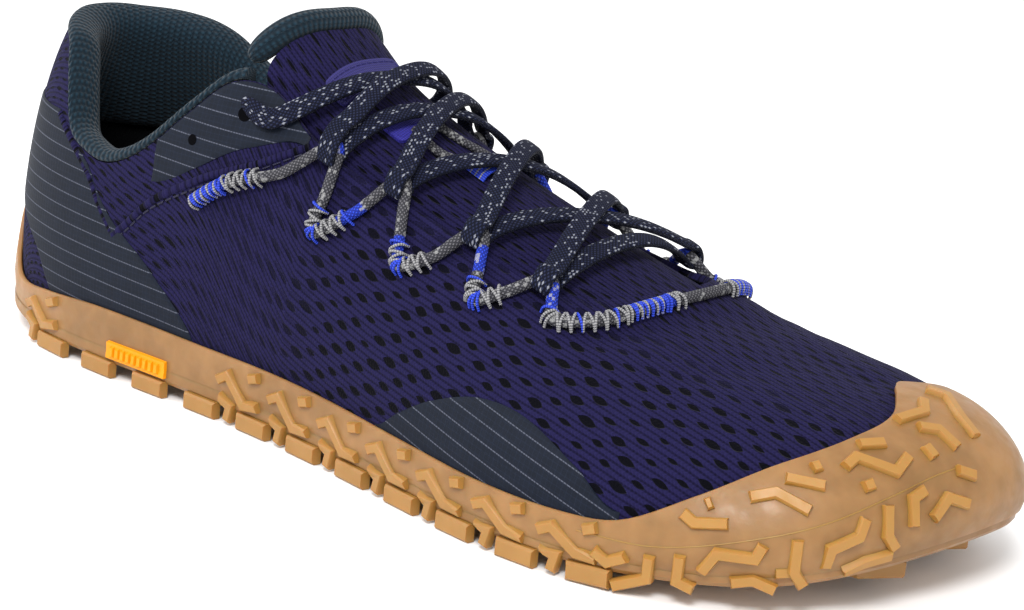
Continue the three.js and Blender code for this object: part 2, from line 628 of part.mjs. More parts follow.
function makeTongue() {
  const grid = Array.from({ length: TONGUE.columns + 1 }, (_, i) => {
    const side = TONGUE_HALF_WIDTH * ((2 * i) / TONGUE.columns - 1);
    const rounding = TONGUE.corner * (side / TONGUE_HALF_WIDTH) ** 8;
    const back = tongueRimShare(clamp(side, -TONGUE_RIM_REACH, TONGUE_RIM_REACH)) + rounding;
    return Array.from({ length: TONGUE.rows + 1 }, (_, j) => ({
      share: back + (TONGUE.front - back) * (j / TONGUE.rows),
      side,
    }));
  });
  const at = (p, out) => [...overCrest(p.share, p.side, out)];
  const sheet = solidOf(slab(grid, (p) => at(p, TONGUE_OUT), (p) => at(p, TONGUE_OUT - TONGUE_THICKNESS)));
  return geometryOf(sheet.subtract(solidOf(makeTongueRim(GAP))));
}

// A slab between two faces over one grid of cells
function slab(grid, upper, lower) {
  const { positions, quad } = gather();
  const [top, bottom] = [grid.map((r) => r.map(upper)), grid.map((r) => r.map(lower))];
  const [rows, columns] = [grid.length - 1, grid[0].length - 1];
  for (let i = 0; i < rows; i++) {
    for (let j = 0; j < columns; j++) {
      quad(top[i][j], top[i][j + 1], top[i + 1][j + 1], top[i + 1][j]);
      quad(bottom[i + 1][j], bottom[i + 1][j + 1], bottom[i][j + 1], bottom[i][j]);
    }
    quad(top[i + 1][0], bottom[i + 1][0], bottom[i][0], top[i][0]);
    quad(top[i][columns], bottom[i][columns], bottom[i + 1][columns], top[i + 1][columns]);
  }
  for (let j = 0; j < columns; j++) {
    quad(top[0][j], bottom[0][j], bottom[0][j + 1], top[0][j + 1]);
    quad(top[rows][j + 1], bottom[rows][j + 1], bottom[rows][j], top[rows][j]);
  }
  return mergedGeometry(positions);
}

// Film overlays are cut out of one thin wall that lies on the upper
const filmWall = solidOf(wallBetween(GAP, GAP + FILM_THICKNESS)).subtract(solidOf(rubberClearance()));

// All that the rubber wall takes, with a gap above it
function rubberClearance() {
  return loft(COLUMNS.map((theta) => {
    const top = through(RUBBER_TOP, theta) + 3 * GAP;
    const heights = [...shellHeights(top), top];
    const outside = heights.map((up) => [...skin(theta, up - GAP, WALL_FOOT * 2)]);
    const inside = heights.map((up) => [...skin(theta, up - GAP, -UPPER_WALL)]);
    return [...outside, ...inside.reverse()];
  }), { round: true });
}

function cutFilm(grid) {
  const at = (out) => ([theta, up]) => [...skin(theta, up, out)];
  const cutter = solidOf(slab(grid, at(FILM_THICKNESS * 5), at(-FILM_THICKNESS)));
  return geometryOf(filmWall.intersect(cutter).simplify(FACET_TOLERANCE));
}

const filmFoot = (theta) => through(RUBBER_TOP, theta) / 2;
const filmHead = (theta) => topOf(theta) - GAP * 3;

// Heel counter: how far forward it reaches, from its foot (0) to its head (1)
const COUNTER = [
  { at: 0, reach: 0.303 },
  { at: 0.25, reach: 0.25 },
  { at: 0.6, reach: 0.175 },
  { at: 1, reach: 0.085 },
];

function makeCounter() {
  const reach = lengthTable(COUNTER, "reach");
  const [rows, columns] = [5, 16];
  const grid = Array.from({ length: rows + 1 }, (_, i) => {
    const height = i / rows;
    const limit = outerAt(through(reach, height));
    return Array.from({ length: columns + 1 }, (_, j) => {
      const turn = limit * ((2 * j) / columns - 1);
      const theta = turn < 0 ? turn + 2 * Math.PI : turn;
      return [theta, filmFoot(theta) + (filmHead(theta) - filmFoot(theta)) * height];
    });
  });
  return cutFilm(grid);
}

// Eyestays: their lower edge, as shares of the girth
const EYESTAY = [
  { at: 0.246, edge: 0.39 },
  { at: 0.297, edge: 0.445 },
  { at: 0.35, edge: 0.555 },
  { at: 0.4, edge: 0.645 },
];

function makeEyestay(angleOf) {
  const edge = lengthTable(EYESTAY, "edge");
  const columns = 8;
  const [from, to] = [EYESTAY[0].at, EYESTAY.at(-1).at];
  const grid = Array.from({ length: columns + 1 }, (_, j) => {
    const theta = angleOf(from + ((to - from) * j) / columns);
    return [[theta, through(edge, shareAt(theta)) * girthAt(theta)], [theta, filmHead(theta)]];
  });
  return cutFilm(angleOf === outerAt ? grid.map((pair) => pair.toReversed()) : grid);
}

// Forefoot overlay on the outer side: its upper edge, in shares of BALL_WIDTH above the plate
const FOREFOOT = [
  { at: 0.552, height: 0.085 },
  { at: 0.579, height: 0.135 },
  { at: 0.61, height: 0.187 },
  { at: 0.657, height: 0.235 },
  { at: 0.703, height: 0.231 },
  { at: 0.76, height: 0.165 },
  { at: 0.803, height: 0.095 },
];

function makeForefoot() {
  const grid = FOREFOOT.map(({ at, height }) => {
    const theta = outerAt(at);
    return [[theta, height * BALL_WIDTH], [theta, filmFoot(theta)]];
  });
  return cutFilm(grid);
}

// Blank patches on the tongue: [share, side in shares of TONGUE_HALF_WIDTH] corners
const TONGUE_LABEL = { from: 0.382, to: 0.407, low: -0.55, high: 0.22 };
const KEEPER_LABEL = { from: 0.437, to: 0.466, low: -0.46, high: -0.02 };

function makePatch({ from, to, low, high }) {
  const [rows, columns] = [4, 2];
  const grid = Array.from({ length: rows + 1 }, (_, i) =>
    Array.from({ length: columns + 1 }, (_, j) => ({
      share: from + ((to - from) * j) / columns,
      side: (low + ((high - low) * i) / rows) * TONGUE_HALF_WIDTH,
    })));
  const at = (out) => (p) => [...overCrest(p.share, p.side, out)];
  const seat = TONGUE_OUT + SOFT_GAP;
  return slab(grid, at(seat + LABEL_THICKNESS), at(seat));
}

// A round cord along points, closed at its ends
function cordAlong(points, diameter, steps) {
  const path = new THREE.CatmullRomCurve3(points, false, "catmullrom");
  const corners = Array.from({ length: CORD_SIDES }, (_, i) => {
    const turn = (2 * Math.PI * i) / CORD_SIDES;
    return new THREE.Vector2(Math.cos(turn), Math.sin(turn)).multiplyScalar(diameter / 2);
  });
  const section = new THREE.Shape(corners);
  return new THREE.ExtrudeGeometry(section, { steps, extrudePath: path, bevelEnabled: false });
}

// The eyelet cord, couched to the upper, with a loop at every lace turn; girth is a share of the section's
const EYELET_CORD = [
  { at: 0.306, girth: 0.38 },
  { at: 0.345, girth: 0.47 },
  { at: 0.39, girth: 0.56 },
  { at: 0.423, girth: 0.672 },
  { at: 0.434, girth: 0.675 },
  { at: 0.438, girth: 0.58 },
  { at: 0.437, girth: 0.495 },
  { at: 0.445, girth: 0.485 },
  { at: 0.475, girth: 0.585 },
  { at: 0.493, girth: 0.69 },
  { at: 0.503, girth: 0.692 },
  { at: 0.517, girth: 0.6 },
  { at: 0.53, girth: 0.515 },
  { at: 0.538, girth: 0.51 },
  { at: 0.561, girth: 0.575 },
  { at: 0.577, girth: 0.675 },
  { at: 0.587, girth: 0.676 },
  { at: 0.599, girth: 0.6 },
  { at: 0.61, girth: 0.52 },
  { at: 0.618, girth: 0.52 },
  { at: 0.635, girth: 0.585 },
  { at: 0.65, girth: 0.652 },
  { at: 0.659, girth: 0.652 },
  { at: 0.669, girth: 0.6 },
  { at: 0.68, girth: 0.56 },
  { at: 0.708, girth: 0.63 },
  { at: 0.722, girth: 0.75 },
  { at: 0.729, girth: 0.88 },
];
const EYELET_CORD_FRONT = 0.731;
const CORD_OUT = GAP + CORD_DIAMETER / 2 + 0.1;

function makeEyeletCord() {
  const place = (theta, girth) => skin(theta, girth * girthAt(theta), CORD_OUT);
  const outer = EYELET_CORD.map((r) => place(outerAt(r.at), r.girth));
  const inner = EYELET_CORD.map((r) => place(innerAt(r.at), r.girth));
  const top = place(outerAt(EYELET_CORD_FRONT), 1);
  return cordAlong([...outer, top, ...inner.reverse()], CORD_DIAMETER, FACETS.eyeletCord);
}

// A flat braid along [share, side, out] points, lying flat on the last
function braid(knots) {
  const flat = knots.map(([share, side, out]) => v3(share * LAST_LENGTH, side, out));
  const curve = new THREE.CatmullRomCurve3(flat);
  const ahead = 0.02;
  const at = (t) => {
    const p = curve.getPoint(t);
    return { share: p.x / LAST_LENGTH, side: p.y, out: p.z };
  };
  const place = (p) => overCrest(p.share, p.side, p.out);
  const section = [[-0.5, -0.5], [0.5, -0.5], [0.5, 0.5], [-0.5, 0.5]];
  const rings = Array.from({ length: BRAID_STEPS + 1 }, (_, i) => {
    const t = i / BRAID_STEPS;
    const p = at(t);
    const middle = place(p);
    const along = place(at(Math.min(t + ahead, 1))).sub(place(at(Math.max(t - ahead, 0)))).normalize();
    const theta = p.side < 0 ? outerAt(p.share) : innerAt(p.share);
    const normal = normalAt(theta, girthAt(theta) - Math.abs(p.side));
    const across = along.clone().cross(normal).normalize();
    const up = across.clone().cross(along).normalize();
    return section.map(([w, h]) => {
      const corner = middle.clone().addScaledVector(across, w * LACE_WIDTH);
      return [...corner.addScaledVector(up, h * LACE_THICKNESS)];
    });
  });
  return loft(rings);
}

// Lace turns: the share and side of each, where the braid meets its loop, and the top eyelets
const LACE_LOW = GAP + LACE_THICKNESS / 2 + 0.35;
const LACE_HIGH = LACE_LOW + LACE_THICKNESS - 0.1;
const LACE_ON_FILM = LACE_LOW + FILM_THICKNESS;
const TURNS = [
  { at: 0.429, girth: 0.674 },
  { at: 0.498, girth: 0.691 },
  { at: 0.582, girth: 0.676 },
  { at: 0.655, girth: 0.652 },
];
const TOP_EYELET = { at: 0.34, girth: 0.62 };
// Where the two upper bars cross and where they bend to the top eyelets; side is a share of TONGUE_HALF_WIDTH
const LACE_CROSSING = { at: 0.405, side: 0.23 };
const LACE_BEND = { at: 0.37, side: 0.63 };
const LACE_STOP = CORD_DIAMETER / 2 + 4 * GAP; // from a loop's end to the braid's

function makeLace() {
  const [one, two, three, four] = TURNS;
  const knot = ({ at, girth }, side, out = LACE_LOW) => {
    const theta = side === "outer" ? outerAt(at) : innerAt(at);
    const reach = girthAt(theta) * (1 - girth) - LACE_STOP;
    return [at, side === "outer" ? -reach : reach, out];
  };
  const bend = ({ at, side }, facing, out) => [at, facing * side * TONGUE_HALF_WIDTH, out];
  const topKnot = (side) => knot(TOP_EYELET, side, LACE_ON_FILM);
  const cross = (a, sideA, b, sideB, out) => {
    const [from, to] = [knot(a, sideA), knot(b, sideB)];
    return braid([from, [(from[0] + to[0]) / 2, (from[1] + to[1]) / 2, out], to]);
  };
  const toTop = (from, facing, to, out) => {
    const middle = [bend(LACE_CROSSING, facing, out), bend(LACE_BEND, -facing, LACE_ON_FILM)];
    return braid([knot(one, from), ...middle, topKnot(to)]);
  };
  const bars = [
    braid([knot(four, "outer"), [four.at, 0, LACE_LOW], knot(four, "inner")]),
    cross(four, "outer", three, "inner", LACE_HIGH),
    cross(four, "inner", three, "outer", LACE_LOW),
    cross(three, "outer", two, "inner", LACE_HIGH),
    cross(three, "inner", two, "outer", LACE_LOW),
    cross(two, "outer", one, "inner", LACE_LOW),
    cross(two, "inner", one, "outer", LACE_HIGH),
    toTop("outer", -1, "inner", LACE_HIGH),
    toTop("inner", 1, "outer", LACE_LOW),
  ];
  return geometryOf(bars.map(solidOf).reduce((sum, bar) => sum.add(bar)));
}

// The cord that holds the keeper label down to the tongue; side is a share of TONGUE_HALF_WIDTH
const KEEPER_CORD = [
  { at: 0.472, side: -0.3 },
  { at: 0.495, side: -0.32 },
  { at: 0.522, side: -0.2 },
  { at: 0.53, side: -0.05 },
  { at: 0.515, side: 0 },
  { at: 0.49, side: -0.06 },
  { at: 0.472, side: -0.1 },
];
const KEEPER_CORD_DIAMETER = 2;

function makeKeeperCord() {
  const out = TONGUE_OUT + GAP + KEEPER_CORD_DIAMETER / 2;
  const points = KEEPER_CORD.map(({ at, side }) => overCrest(at, side * TONGUE_HALF_WIDTH, out));
  return cordAlong(points, KEEPER_CORD_DIAMETER, FACETS.keeperCord);
}

function makeTongueRim(grow = 0) {
  const reach = TONGUE_RIM_REACH + grow;
  const points = [];
  for (let i = -FACETS.rimPoints; i <= FACETS.rimPoints; i++) {
    points.push(tongueRimPoint((reach * i) / FACETS.rimPoints));
  }
  return cordAlong(points, 2 * (TONGUE_RIM_RADIUS + grow), FACETS.tongueRim);
}

// A plain ribbed bar on the rubber's outer side
function makeBadge() {
  const [columns, rows] = [4, 1];
  const middle = outerAt(BADGE_AT);
  const grid = Array.from({ length: columns + 1 }, (_, i) => {
    const theta = stepAlong(middle, BADGE_LENGTH * (i / columns - 0.5));
    return Array.from({ length: rows + 1 }, (_, j) => [theta, BADGE_RISE + BADGE_HEIGHT * (0.5 - j / rows)]);
  });
  const at = (proud) => ([theta, up]) => [...onWall(theta, up, proud)];
  return slab(grid, at(GAP + BADGE_THICKNESS), at(GAP));
}

// The pieces with their colours
const shoe = new THREE.Group();

function addPiece(name, geometry, color, roughness) {
  const material = new THREE.MeshStandardMaterial({ color, roughness, metalness: 0 });
  const mesh = new THREE.Mesh(geometry, material);
  mesh.name = name;
  shoe.add(mesh);
}

addPiece("outsole", makeOutsole(), 0xc4935a, 0.45);
addPiece("side_badge", makeBadge(), 0xffb400, 0.5);
addPiece("insole", makeInsole(), 0x24262e, 0.9);
addPiece("upper", wallBetween(-UPPER_WALL, 0), 0x34315c, 0.85);
addPiece("collar_lining", makeLining(), 0x24394a, 0.9);
addPiece("tongue", makeTongue(), 0x302e55, 0.85);
addPiece("tongue_rim", makeTongueRim(), 0x24394a, 0.9);
addPiece("tongue_label", makePatch(TONGUE_LABEL), 0x2b2a50, 0.7);
addPiece("keeper_label", makePatch(KEEPER_LABEL), 0x3a3878, 0.7);
addPiece("keeper_cord", makeKeeperCord(), 0x76757a, 0.8);
addPiece("heel_counter", makeCounter(), 0x3a4150, 0.55);
addPiece("eyestay_outer", makeEyestay(outerAt), 0x3a4150, 0.55);
addPiece("eyestay_inner", makeEyestay(innerAt), 0x3a4150, 0.55);
addPiece("forefoot_overlay", makeForefoot(), 0x3a4150, 0.55);
addPiece("eyelet_cord", makeEyeletCord(), 0x76757a, 0.8);
addPiece("lace", makeLace(), 0x1f2233, 0.85);

// The origin stands under the middle of the shoe's own box
const box = new THREE.Box3().setFromObject(shoe);
shoe.position.set(-(box.min.x + box.max.x) / 2, -(box.min.y + box.max.y) / 2, -box.min.z);

export default shoe;
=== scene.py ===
import math

import bpy
import numpy as np
from mathutils import Matrix, Vector


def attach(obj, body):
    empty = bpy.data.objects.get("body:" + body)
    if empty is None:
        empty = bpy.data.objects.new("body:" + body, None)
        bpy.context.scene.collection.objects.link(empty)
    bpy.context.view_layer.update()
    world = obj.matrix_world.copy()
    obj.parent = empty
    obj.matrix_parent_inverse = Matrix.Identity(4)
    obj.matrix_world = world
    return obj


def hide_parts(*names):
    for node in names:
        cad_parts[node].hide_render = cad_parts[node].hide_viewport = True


bl_info = {
    "name": "Barefoot Shoe",
    "version": (1, 0, 0),
    "blender": (4, 5, 0),
    "location": "View3D > Sidebar > Shoe",
    "description": "Builds the looks of a right-foot barefoot trail shoe around its packed solids",
    "category": "Object",
}

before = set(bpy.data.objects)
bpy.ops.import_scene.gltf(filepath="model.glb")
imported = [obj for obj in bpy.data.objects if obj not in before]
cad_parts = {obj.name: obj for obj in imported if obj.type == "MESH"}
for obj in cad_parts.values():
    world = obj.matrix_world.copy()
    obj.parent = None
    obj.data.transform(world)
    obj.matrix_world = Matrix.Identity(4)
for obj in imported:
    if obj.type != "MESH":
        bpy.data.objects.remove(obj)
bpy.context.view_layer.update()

# Sizes of the last and the pieces in millimetres, as in the solids
LAST_LENGTH = 276
BALL_WIDTH = 98
INSTEP_HEIGHT = 96
SIDE_SWELL = 2.2
UPPER_WALL = 2
GAP = 0.3
LUG_HEIGHT = 2.8
PLATE_THICKNESS = 4.2
TIP_BLUNT = 6
TIP_FROM = 0.9
TOE_SPRING = 11
WALL_FOOT = 3.1
WALL_EDGE = 1.1
WALL_TUCK = 2.6
BUMPER_HEIGHT = 40
RIB_HEIGHT = 1.3
RIB_WIDTH = 2.4
RIB_ROOT = 1.0
RIB_PITCH = 18
LUG_PITCH = 24
LUG_SPREAD = 27
LUG_WIDTH = 18
LUG_ARM = 7
LUG_SWEEP = 6
LUG_MARGIN = 11
INSOLE_THICKNESS = 3
TONGUE_OUT = -2.8
TONGUE_THICKNESS = 2.5
TONGUE_HALF_WIDTH = 35
TONGUE_RIM_RADIUS = 3.3
TONGUE_RIM_REACH = 31.5
FILM_THICKNESS = 0.45
LABEL_THICKNESS = 0.9
CORD_DIAMETER = 2.6
KEEPER_CORD_DIAMETER = 2
LACE_WIDTH = 5
LACE_THICKNESS = 1.7
BADGE_LENGTH = 21
BADGE_HEIGHT = 5
BADGE_AT = 0.253
BADGE_RISE = 0.6
THREAD = 0.32
PATCH_MARGIN = 1.2  # from a label's edge to its stitching
PATCH_MARGIN_SHARE = 0.0035
TO_FRAME = np.array([3.3067, 0.8234, 0.0])  # from the last's own origin to the frame's

# at, outer, inner, crest, ridge, square, sole: shares of length, BALL_WIDTH, INSTEP_HEIGHT and TOE_SPRING
LAST_COLUMNS = ("at", "outer", "inner", "crest", "ridge", "square", "sole")
LAST = [
    (0.0, 0.0, 0.0, 0.0, 0.99, 2.75, 0.3),
    (0.02, 0.155, 0.155, 0.0, 0.99, 2.75, 0.2),
    (0.06, 0.25, 0.25, 0.0, 1.0, 2.8, 0.05),
    (0.12, 0.31, 0.31, 0.0, 1.0, 2.9, 0.0),
    (0.2, 0.34, 0.33, 0.0, 1.02, 3.0, 0.0),
    (0.3, 0.352, 0.315, 0.0, 1.04, 3.0, 0.0),
    (0.4, 0.37, 0.3, 0.0, 0.86, 2.6, 0.0),
    (0.5, 0.41, 0.32, 0.0, 0.74, 2.3, 0.0),
    (0.6, 0.465, 0.385, 0.01, 0.635, 2.2, 0.0),
    (0.68, 0.505, 0.45, 0.03, 0.55, 2.2, 0.0),
    (0.76, 0.508, 0.492, 0.06, 0.472, 2.3, 0.0),
    (0.84, 0.455, 0.5, 0.1, 0.41, 2.4, 0.1),
    (0.9, 0.365, 0.47, 0.13, 0.378, 2.4, 0.27),
    (0.95, 0.235, 0.4, 0.14, 0.36, 2.4, 0.6),
    (0.985, 0.06, 0.3, 0.15, 0.35, 2.4, 0.95),
    (1.0, -0.17, 0.17, 0.15, 0.35, 2.4, 1.05),
]
HEEL_FAN = (0.25, 0.13)  # where the crest gathers from, and to
TOE_FAN = (0.7, 0.87)
# at, outer, inner: the upper's top edge as shares of the girth
TOP_EDGE = [
    (0.0, 0.675, 0.675), (0.02, 0.675, 0.68), (0.05, 0.665, 0.685), (0.075, 0.64, 0.68), (0.1, 0.565, 0.665),
    (0.125, 0.46, 0.635), (0.15, 0.425, 0.585), (0.185, 0.41, 0.53), (0.23, 0.455, 0.52), (0.28, 0.56, 0.58),
    (0.32, 0.66, 0.66), (0.36, 0.7, 0.69), (0.4, 0.675, 0.66), (0.45, 0.66, 0.64), (0.55, 0.66, 0.64),
    (0.64, 0.64, 0.63), (1.0, 0.64, 0.63),
]
THROAT_FROM, THROAT_FRONT = 0.65, 0.715
# at, outer, inner: the rubber's upper edge as shares of BUMPER_HEIGHT
RUBBER_EDGE = [
    (0.0, 0.67, 0.67), (0.012, 0.5, 0.5), (0.035, 0.22, 0.22), (0.066, 0.16, 0.16), (0.12, 0.2, 0.2),
    (0.2, 0.24, 0.24), (0.33, 0.23, 0.24), (0.45, 0.23, 0.24), (0.573, 0.2, 0.22), (0.68, 0.175, 0.2),
    (0.757, 0.175, 0.2), (0.805, 0.2, 0.22), (0.854, 0.375, 0.32), (0.898, 0.57, 0.52), (0.94, 0.68, 0.8),
    (0.976, 0.75, 0.98), (0.99, 0.86, 1.0), (1.0, 0.95, 0.95),
]
# at, up: the parting line on the toe's outer side
PARTING = [(0.78, 4.6), (0.833, 4.6), (0.898, 7.4), (0.938, 9.3), (0.973, 11.9), (0.99, 13.0)]
# at, girth: the eyelet cord as shares of length and girth
EYELET_CORD = [
    (0.306, 0.38), (0.345, 0.47), (0.39, 0.56), (0.423, 0.672), (0.434, 0.675), (0.438, 0.58), (0.437, 0.495),
    (0.445, 0.485), (0.475, 0.585), (0.493, 0.69), (0.503, 0.692), (0.517, 0.6), (0.53, 0.515), (0.538, 0.51),
    (0.561, 0.575), (0.577, 0.675), (0.587, 0.676), (0.599, 0.6), (0.61, 0.52), (0.618, 0.52), (0.635, 0.585),
    (0.65, 0.652), (0.659, 0.652), (0.669, 0.6), (0.68, 0.56), (0.708, 0.63), (0.722, 0.75), (0.729, 0.88),
]
# from, to, blue: stitched runs of the eyelet cord, by its rows
COUCHED = [
    (0.0, 0.75, 1), (0.75, 1.55, 0), (5.35, 6.05, 0), (6.05, 6.75, 1), (6.75, 7.75, 0), (11.4, 12.05, 0),
    (12.05, 12.75, 1), (12.75, 13.75, 0), (17.4, 18.05, 0), (18.05, 18.75, 1), (18.75, 19.7, 0),
    (23.3, 25.6, 0),
    (25.6, 26.5, 1), (26.5, 27.9, 0),
]
# at, girth: the loops that the lace turns in, from the top one forward
TURNS = [(0.429, 0.674), (0.498, 0.691), (0.582, 0.676), (0.655, 0.652)]
TOP_EYELET = (0.337, 0.61)

TAU = 2 * math.pi
SECTION_STEPS = 96
NORMAL_TURN = 0.012
NORMAL_LIFT = 0.8


def knots_of(pairs):
    """Splits (t, y) pairs into two arrays."""
    return np.array([p[0] for p in pairs]), np.array([p[1] for p in pairs])


def through(knots, t):
    """Cubic through the knots with Catmull-Rom slopes."""
    ts, ys = knots
    i = int(np.clip(np.searchsorted(ts, t) - 1, 1, len(ts) - 3))
    (ta, tb, tc, td), (ya, yb, yc, yd) = ts[i - 1 : i + 3], ys[i - 1 : i + 3]
    span = tc - tb
    slope_b, slope_c = (yc - ya) / (tc - ta) * span, (yd - yb) / (td - tb) * span
    s = (t - tb) / span
    square, cube = 3 * (yc - yb) - 2 * slope_b - slope_c, 2 * (yb - yc) + slope_b + slope_c
    return yb + s * (slope_b + s * (square + s * cube))


def angle_at(share):
    return math.acos(1 - 2 * min(max(share, 0), 1))


def inner_at(share):
    return TAU - angle_at(share)


def share_at(theta):
    return (1 - math.cos(theta)) / 2


def round_table(rows, outer, inner):
    """A table round the shoe by angle: 0 at the heel, pi at the toe, the outer side first."""
    ring = [(angle_at(r[0]), outer(r)) for r in rows] + [(inner_at(r[0]), inner(r)) for r in rows[-2:0:-1]]
    before = [(t - TAU, y) for t, y in ring[-2:]]
    after = [(t + TAU, y) for t, y in ring[:3]]
    return knots_of(before + ring + after)


def length_table(rows, column):
    """A table along the shoe, level beyond its ends."""
    pairs = [(r[0], r[column]) for r in rows]
    (first, low), (last, high) = pairs[0], pairs[-1]
    return knots_of([(first - 1, low), *pairs, (last + 1, high), (last + 2, high)])


OUTLINE = round_table(LAST, lambda r: -r[1] * BALL_WIDTH, lambda r: r[2] * BALL_WIDTH)
TOP_SHARE = round_table(TOP_EDGE, lambda r: r[1], lambda r: r[2])
RUBBER_TOP = round_table(RUBBER_EDGE, lambda r: r[1] * BUMPER_HEIGHT, lambda r: r[2] * BUMPER_HEIGHT)
CREST, RIDGE, SQUARE, SOLE = (length_table(LAST, LAST_COLUMNS.index(c))
    for c in ("crest", "ridge", "square", "sole"))


def x_at(share):
    t = min(max((share - TIP_FROM) / (1 - TIP_FROM), 0), 1)
    return (share - 0.5) * LAST_LENGTH - TIP_BLUNT * t * t * (3 - 2 * t)


def tread_z(x):
    return max(through(SOLE, min(max(x / LAST_LENGTH + 0.5, 0), 1)), 0) * TOE_SPRING


def footbed_z(x):
    return tread_z(x) + LUG_HEIGHT + PLATE_THICKNESS


def crest_share(share):
    """The crest's share for a share of the outline, gathered to a centre at both ends."""
    start, centre = TOE_FAN
    if share > start:
        rest, reach = 1 - start, centre - start
        return start + reach * (1 - (1 - (share - start) / rest) ** (rest / reach))
    start, centre = HEEL_FAN
    if share < start:
        reach = start - centre
        return start - reach * (1 - (1 - (start - share) / start) ** (start / reach))
    return share


def crest_point(share):
    c = crest_share(share)
    return np.array([x_at(c), through(CREST, c) * BALL_WIDTH, through(RIDGE, c) * INSTEP_HEIGHT])


SECTIONS = {}


def section_at(theta):
    """One side of a cross section from the lower edge to the crest, its girth and its outward direction."""
    theta %= TAU
    key = round(theta, 6)
    if key not in SECTIONS:
        share = share_at(theta)
        top = crest_point(share)
        foot = np.array([x_at(share), through(OUTLINE, theta), footbed_z(x_at(share))])
        outward = np.array([foot[0] - top[0], foot[1] - top[1], 0.0])
        outward /= np.linalg.norm(outward)
        power = 2 / through(SQUARE, share)
        turn = np.linspace(0, math.pi / 2, SECTION_STEPS + 1)
        reach, rise = np.cos(turn) ** power, np.sin(turn) ** power
        reach[-1] = 0
        points = top + (foot - top) * reach[:, None]
        points[:, 2] = foot[2] + (top[2] - foot[2]) * rise
        points += outward * (SIDE_SWELL * np.sin(math.pi * np.sqrt(rise)) * reach)[:, None]
        steps = np.linalg.norm(np.diff(points, axis=0), axis=1)
        SECTIONS[key] = points, np.concatenate([[0], np.cumsum(steps)]), outward
    return SECTIONS[key]


def girth_at(theta):
    return section_at(theta)[1][-1]


def on_section(theta, ups):
    points, girth, _ = section_at(theta)
    inside = np.clip(ups, 0, girth[-1])
    found = np.stack([np.interp(inside, girth, points[:, k]) for k in range(3)], axis=-1)
    found[..., 2] += np.minimum(ups, 0)
    return found


def normals_at(theta, ups):
    """Outward normals of the last, square to the crest line along the crest."""
    along = on_section(theta + NORMAL_TURN, ups) - on_section(theta - NORMAL_TURN, ups)
    rise = on_section(theta, ups + NORMAL_LIFT) - on_section(theta, np.maximum(ups - NORMAL_LIFT, 0))
    rise[ups <= 0] = (0, 0, 1)
    normal = np.cross(along, rise)
    normal /= np.maximum(np.linalg.norm(normal, axis=-1, keepdims=True), 1e-9)
    c = crest_share(share_at(theta))
    slope = (through(RIDGE, c + NORMAL_TURN) - through(RIDGE, c - NORMAL_TURN)) * INSTEP_HEIGHT
    crest = np.array([-slope, 0, 2 * NORMAL_TURN * LAST_LENGTH])
    crest /= np.linalg.norm(crest)
    near = np.clip((girth_at(theta) - ups) / 6, 0, 1)[..., None]
    near = near * near * (3 - 2 * near)
    normal = normal * near + crest * (1 - near)
    return normal / np.linalg.norm(normal, axis=-1, keepdims=True)


def skin(theta, ups, outs):
    """Points of the last's surface at girths up from the lower edge and distances out of it."""
    ups, outs = np.broadcast_arrays(np.asarray(ups, float), np.asarray(outs, float))
    return on_section(theta, ups) + normals_at(theta, ups) * outs[..., None]


def knit_at(theta, ups):
    """The flat place of the upper's knit, whose lines slope down forward in the rear quarters."""
    flat = flat_at(theta, ups)
    side = -1 if theta % TAU < math.pi else 1
    flat[..., 1] -= side * 0.42 * np.minimum(flat[..., 0] + 0.02, 0)
    return flat


def flat_at(theta, ups):
    """The surface laid flat: metres along and across, with the crest line as its axis."""
    points, girth, outward = section_at(theta)
    from_crest = girth[-1] - np.asarray(ups, float)
    return (points[-1][:2] + from_crest[..., None] * outward[:2]) / 1000


def crest_angle(share, side):
    return angle_at(share) if side < 0 else inner_at(share)


def over_crest(share, side, out):
    """A point by share of length and signed girth from the crest, negative on the outer side."""
    theta = crest_angle(share, side)
    return skin(theta, np.array([girth_at(theta) - abs(side)]), out)[0]


def top_share(theta):
    """Where the upper ends; the throat closes forward in a quarter ellipse."""
    share = share_at(theta)
    if share >= THROAT_FRONT - 1e-9:
        return 1.0
    first = through(TOP_SHARE, theta % TAU)
    t = min(max((share - THROAT_FROM) / (THROAT_FRONT - THROAT_FROM), 0), 1)
    return first + (1 - first) * (1 - math.sqrt(1 - t * t))


def top_of(theta):
    return top_share(theta) * girth_at(theta)


def rubber_top(theta):
    return through(RUBBER_TOP, theta % TAU)


def wall_out(theta, ups):
    share = np.clip(np.asarray(ups, float) / rubber_top(theta), 0, 1)
    return GAP + WALL_FOOT + (WALL_EDGE - WALL_FOOT) * share


def on_wall(theta, ups, proud):
    return skin(theta, ups, wall_out(theta, ups) + proud)


def step_along(theta, distance):
    ahead, behind = (skin(theta + s * NORMAL_TURN, np.array([0.0]), WALL_FOOT)[0] for s in (1, -1))
    return theta + distance * 2 * NORMAL_TURN / np.linalg.norm(ahead - behind)


def columns(count):
    """Angles round the shoe: even steps, and finer ones where the throat closes."""
    even = [TAU * j / count for j in range(count)]
    shares = [THROAT_FROM + t * (THROAT_FRONT - THROAT_FROM) for t in (0.5, 0.7, 0.8, 0.88, 0.94, 0.98, 1)]
    extra = [f(s) for s in shares for f in (angle_at, inner_at)]
    kept = [a for a in even if all(abs(a - b) > math.pi / count / 2 for b in extra)]
    return sorted(kept + extra)


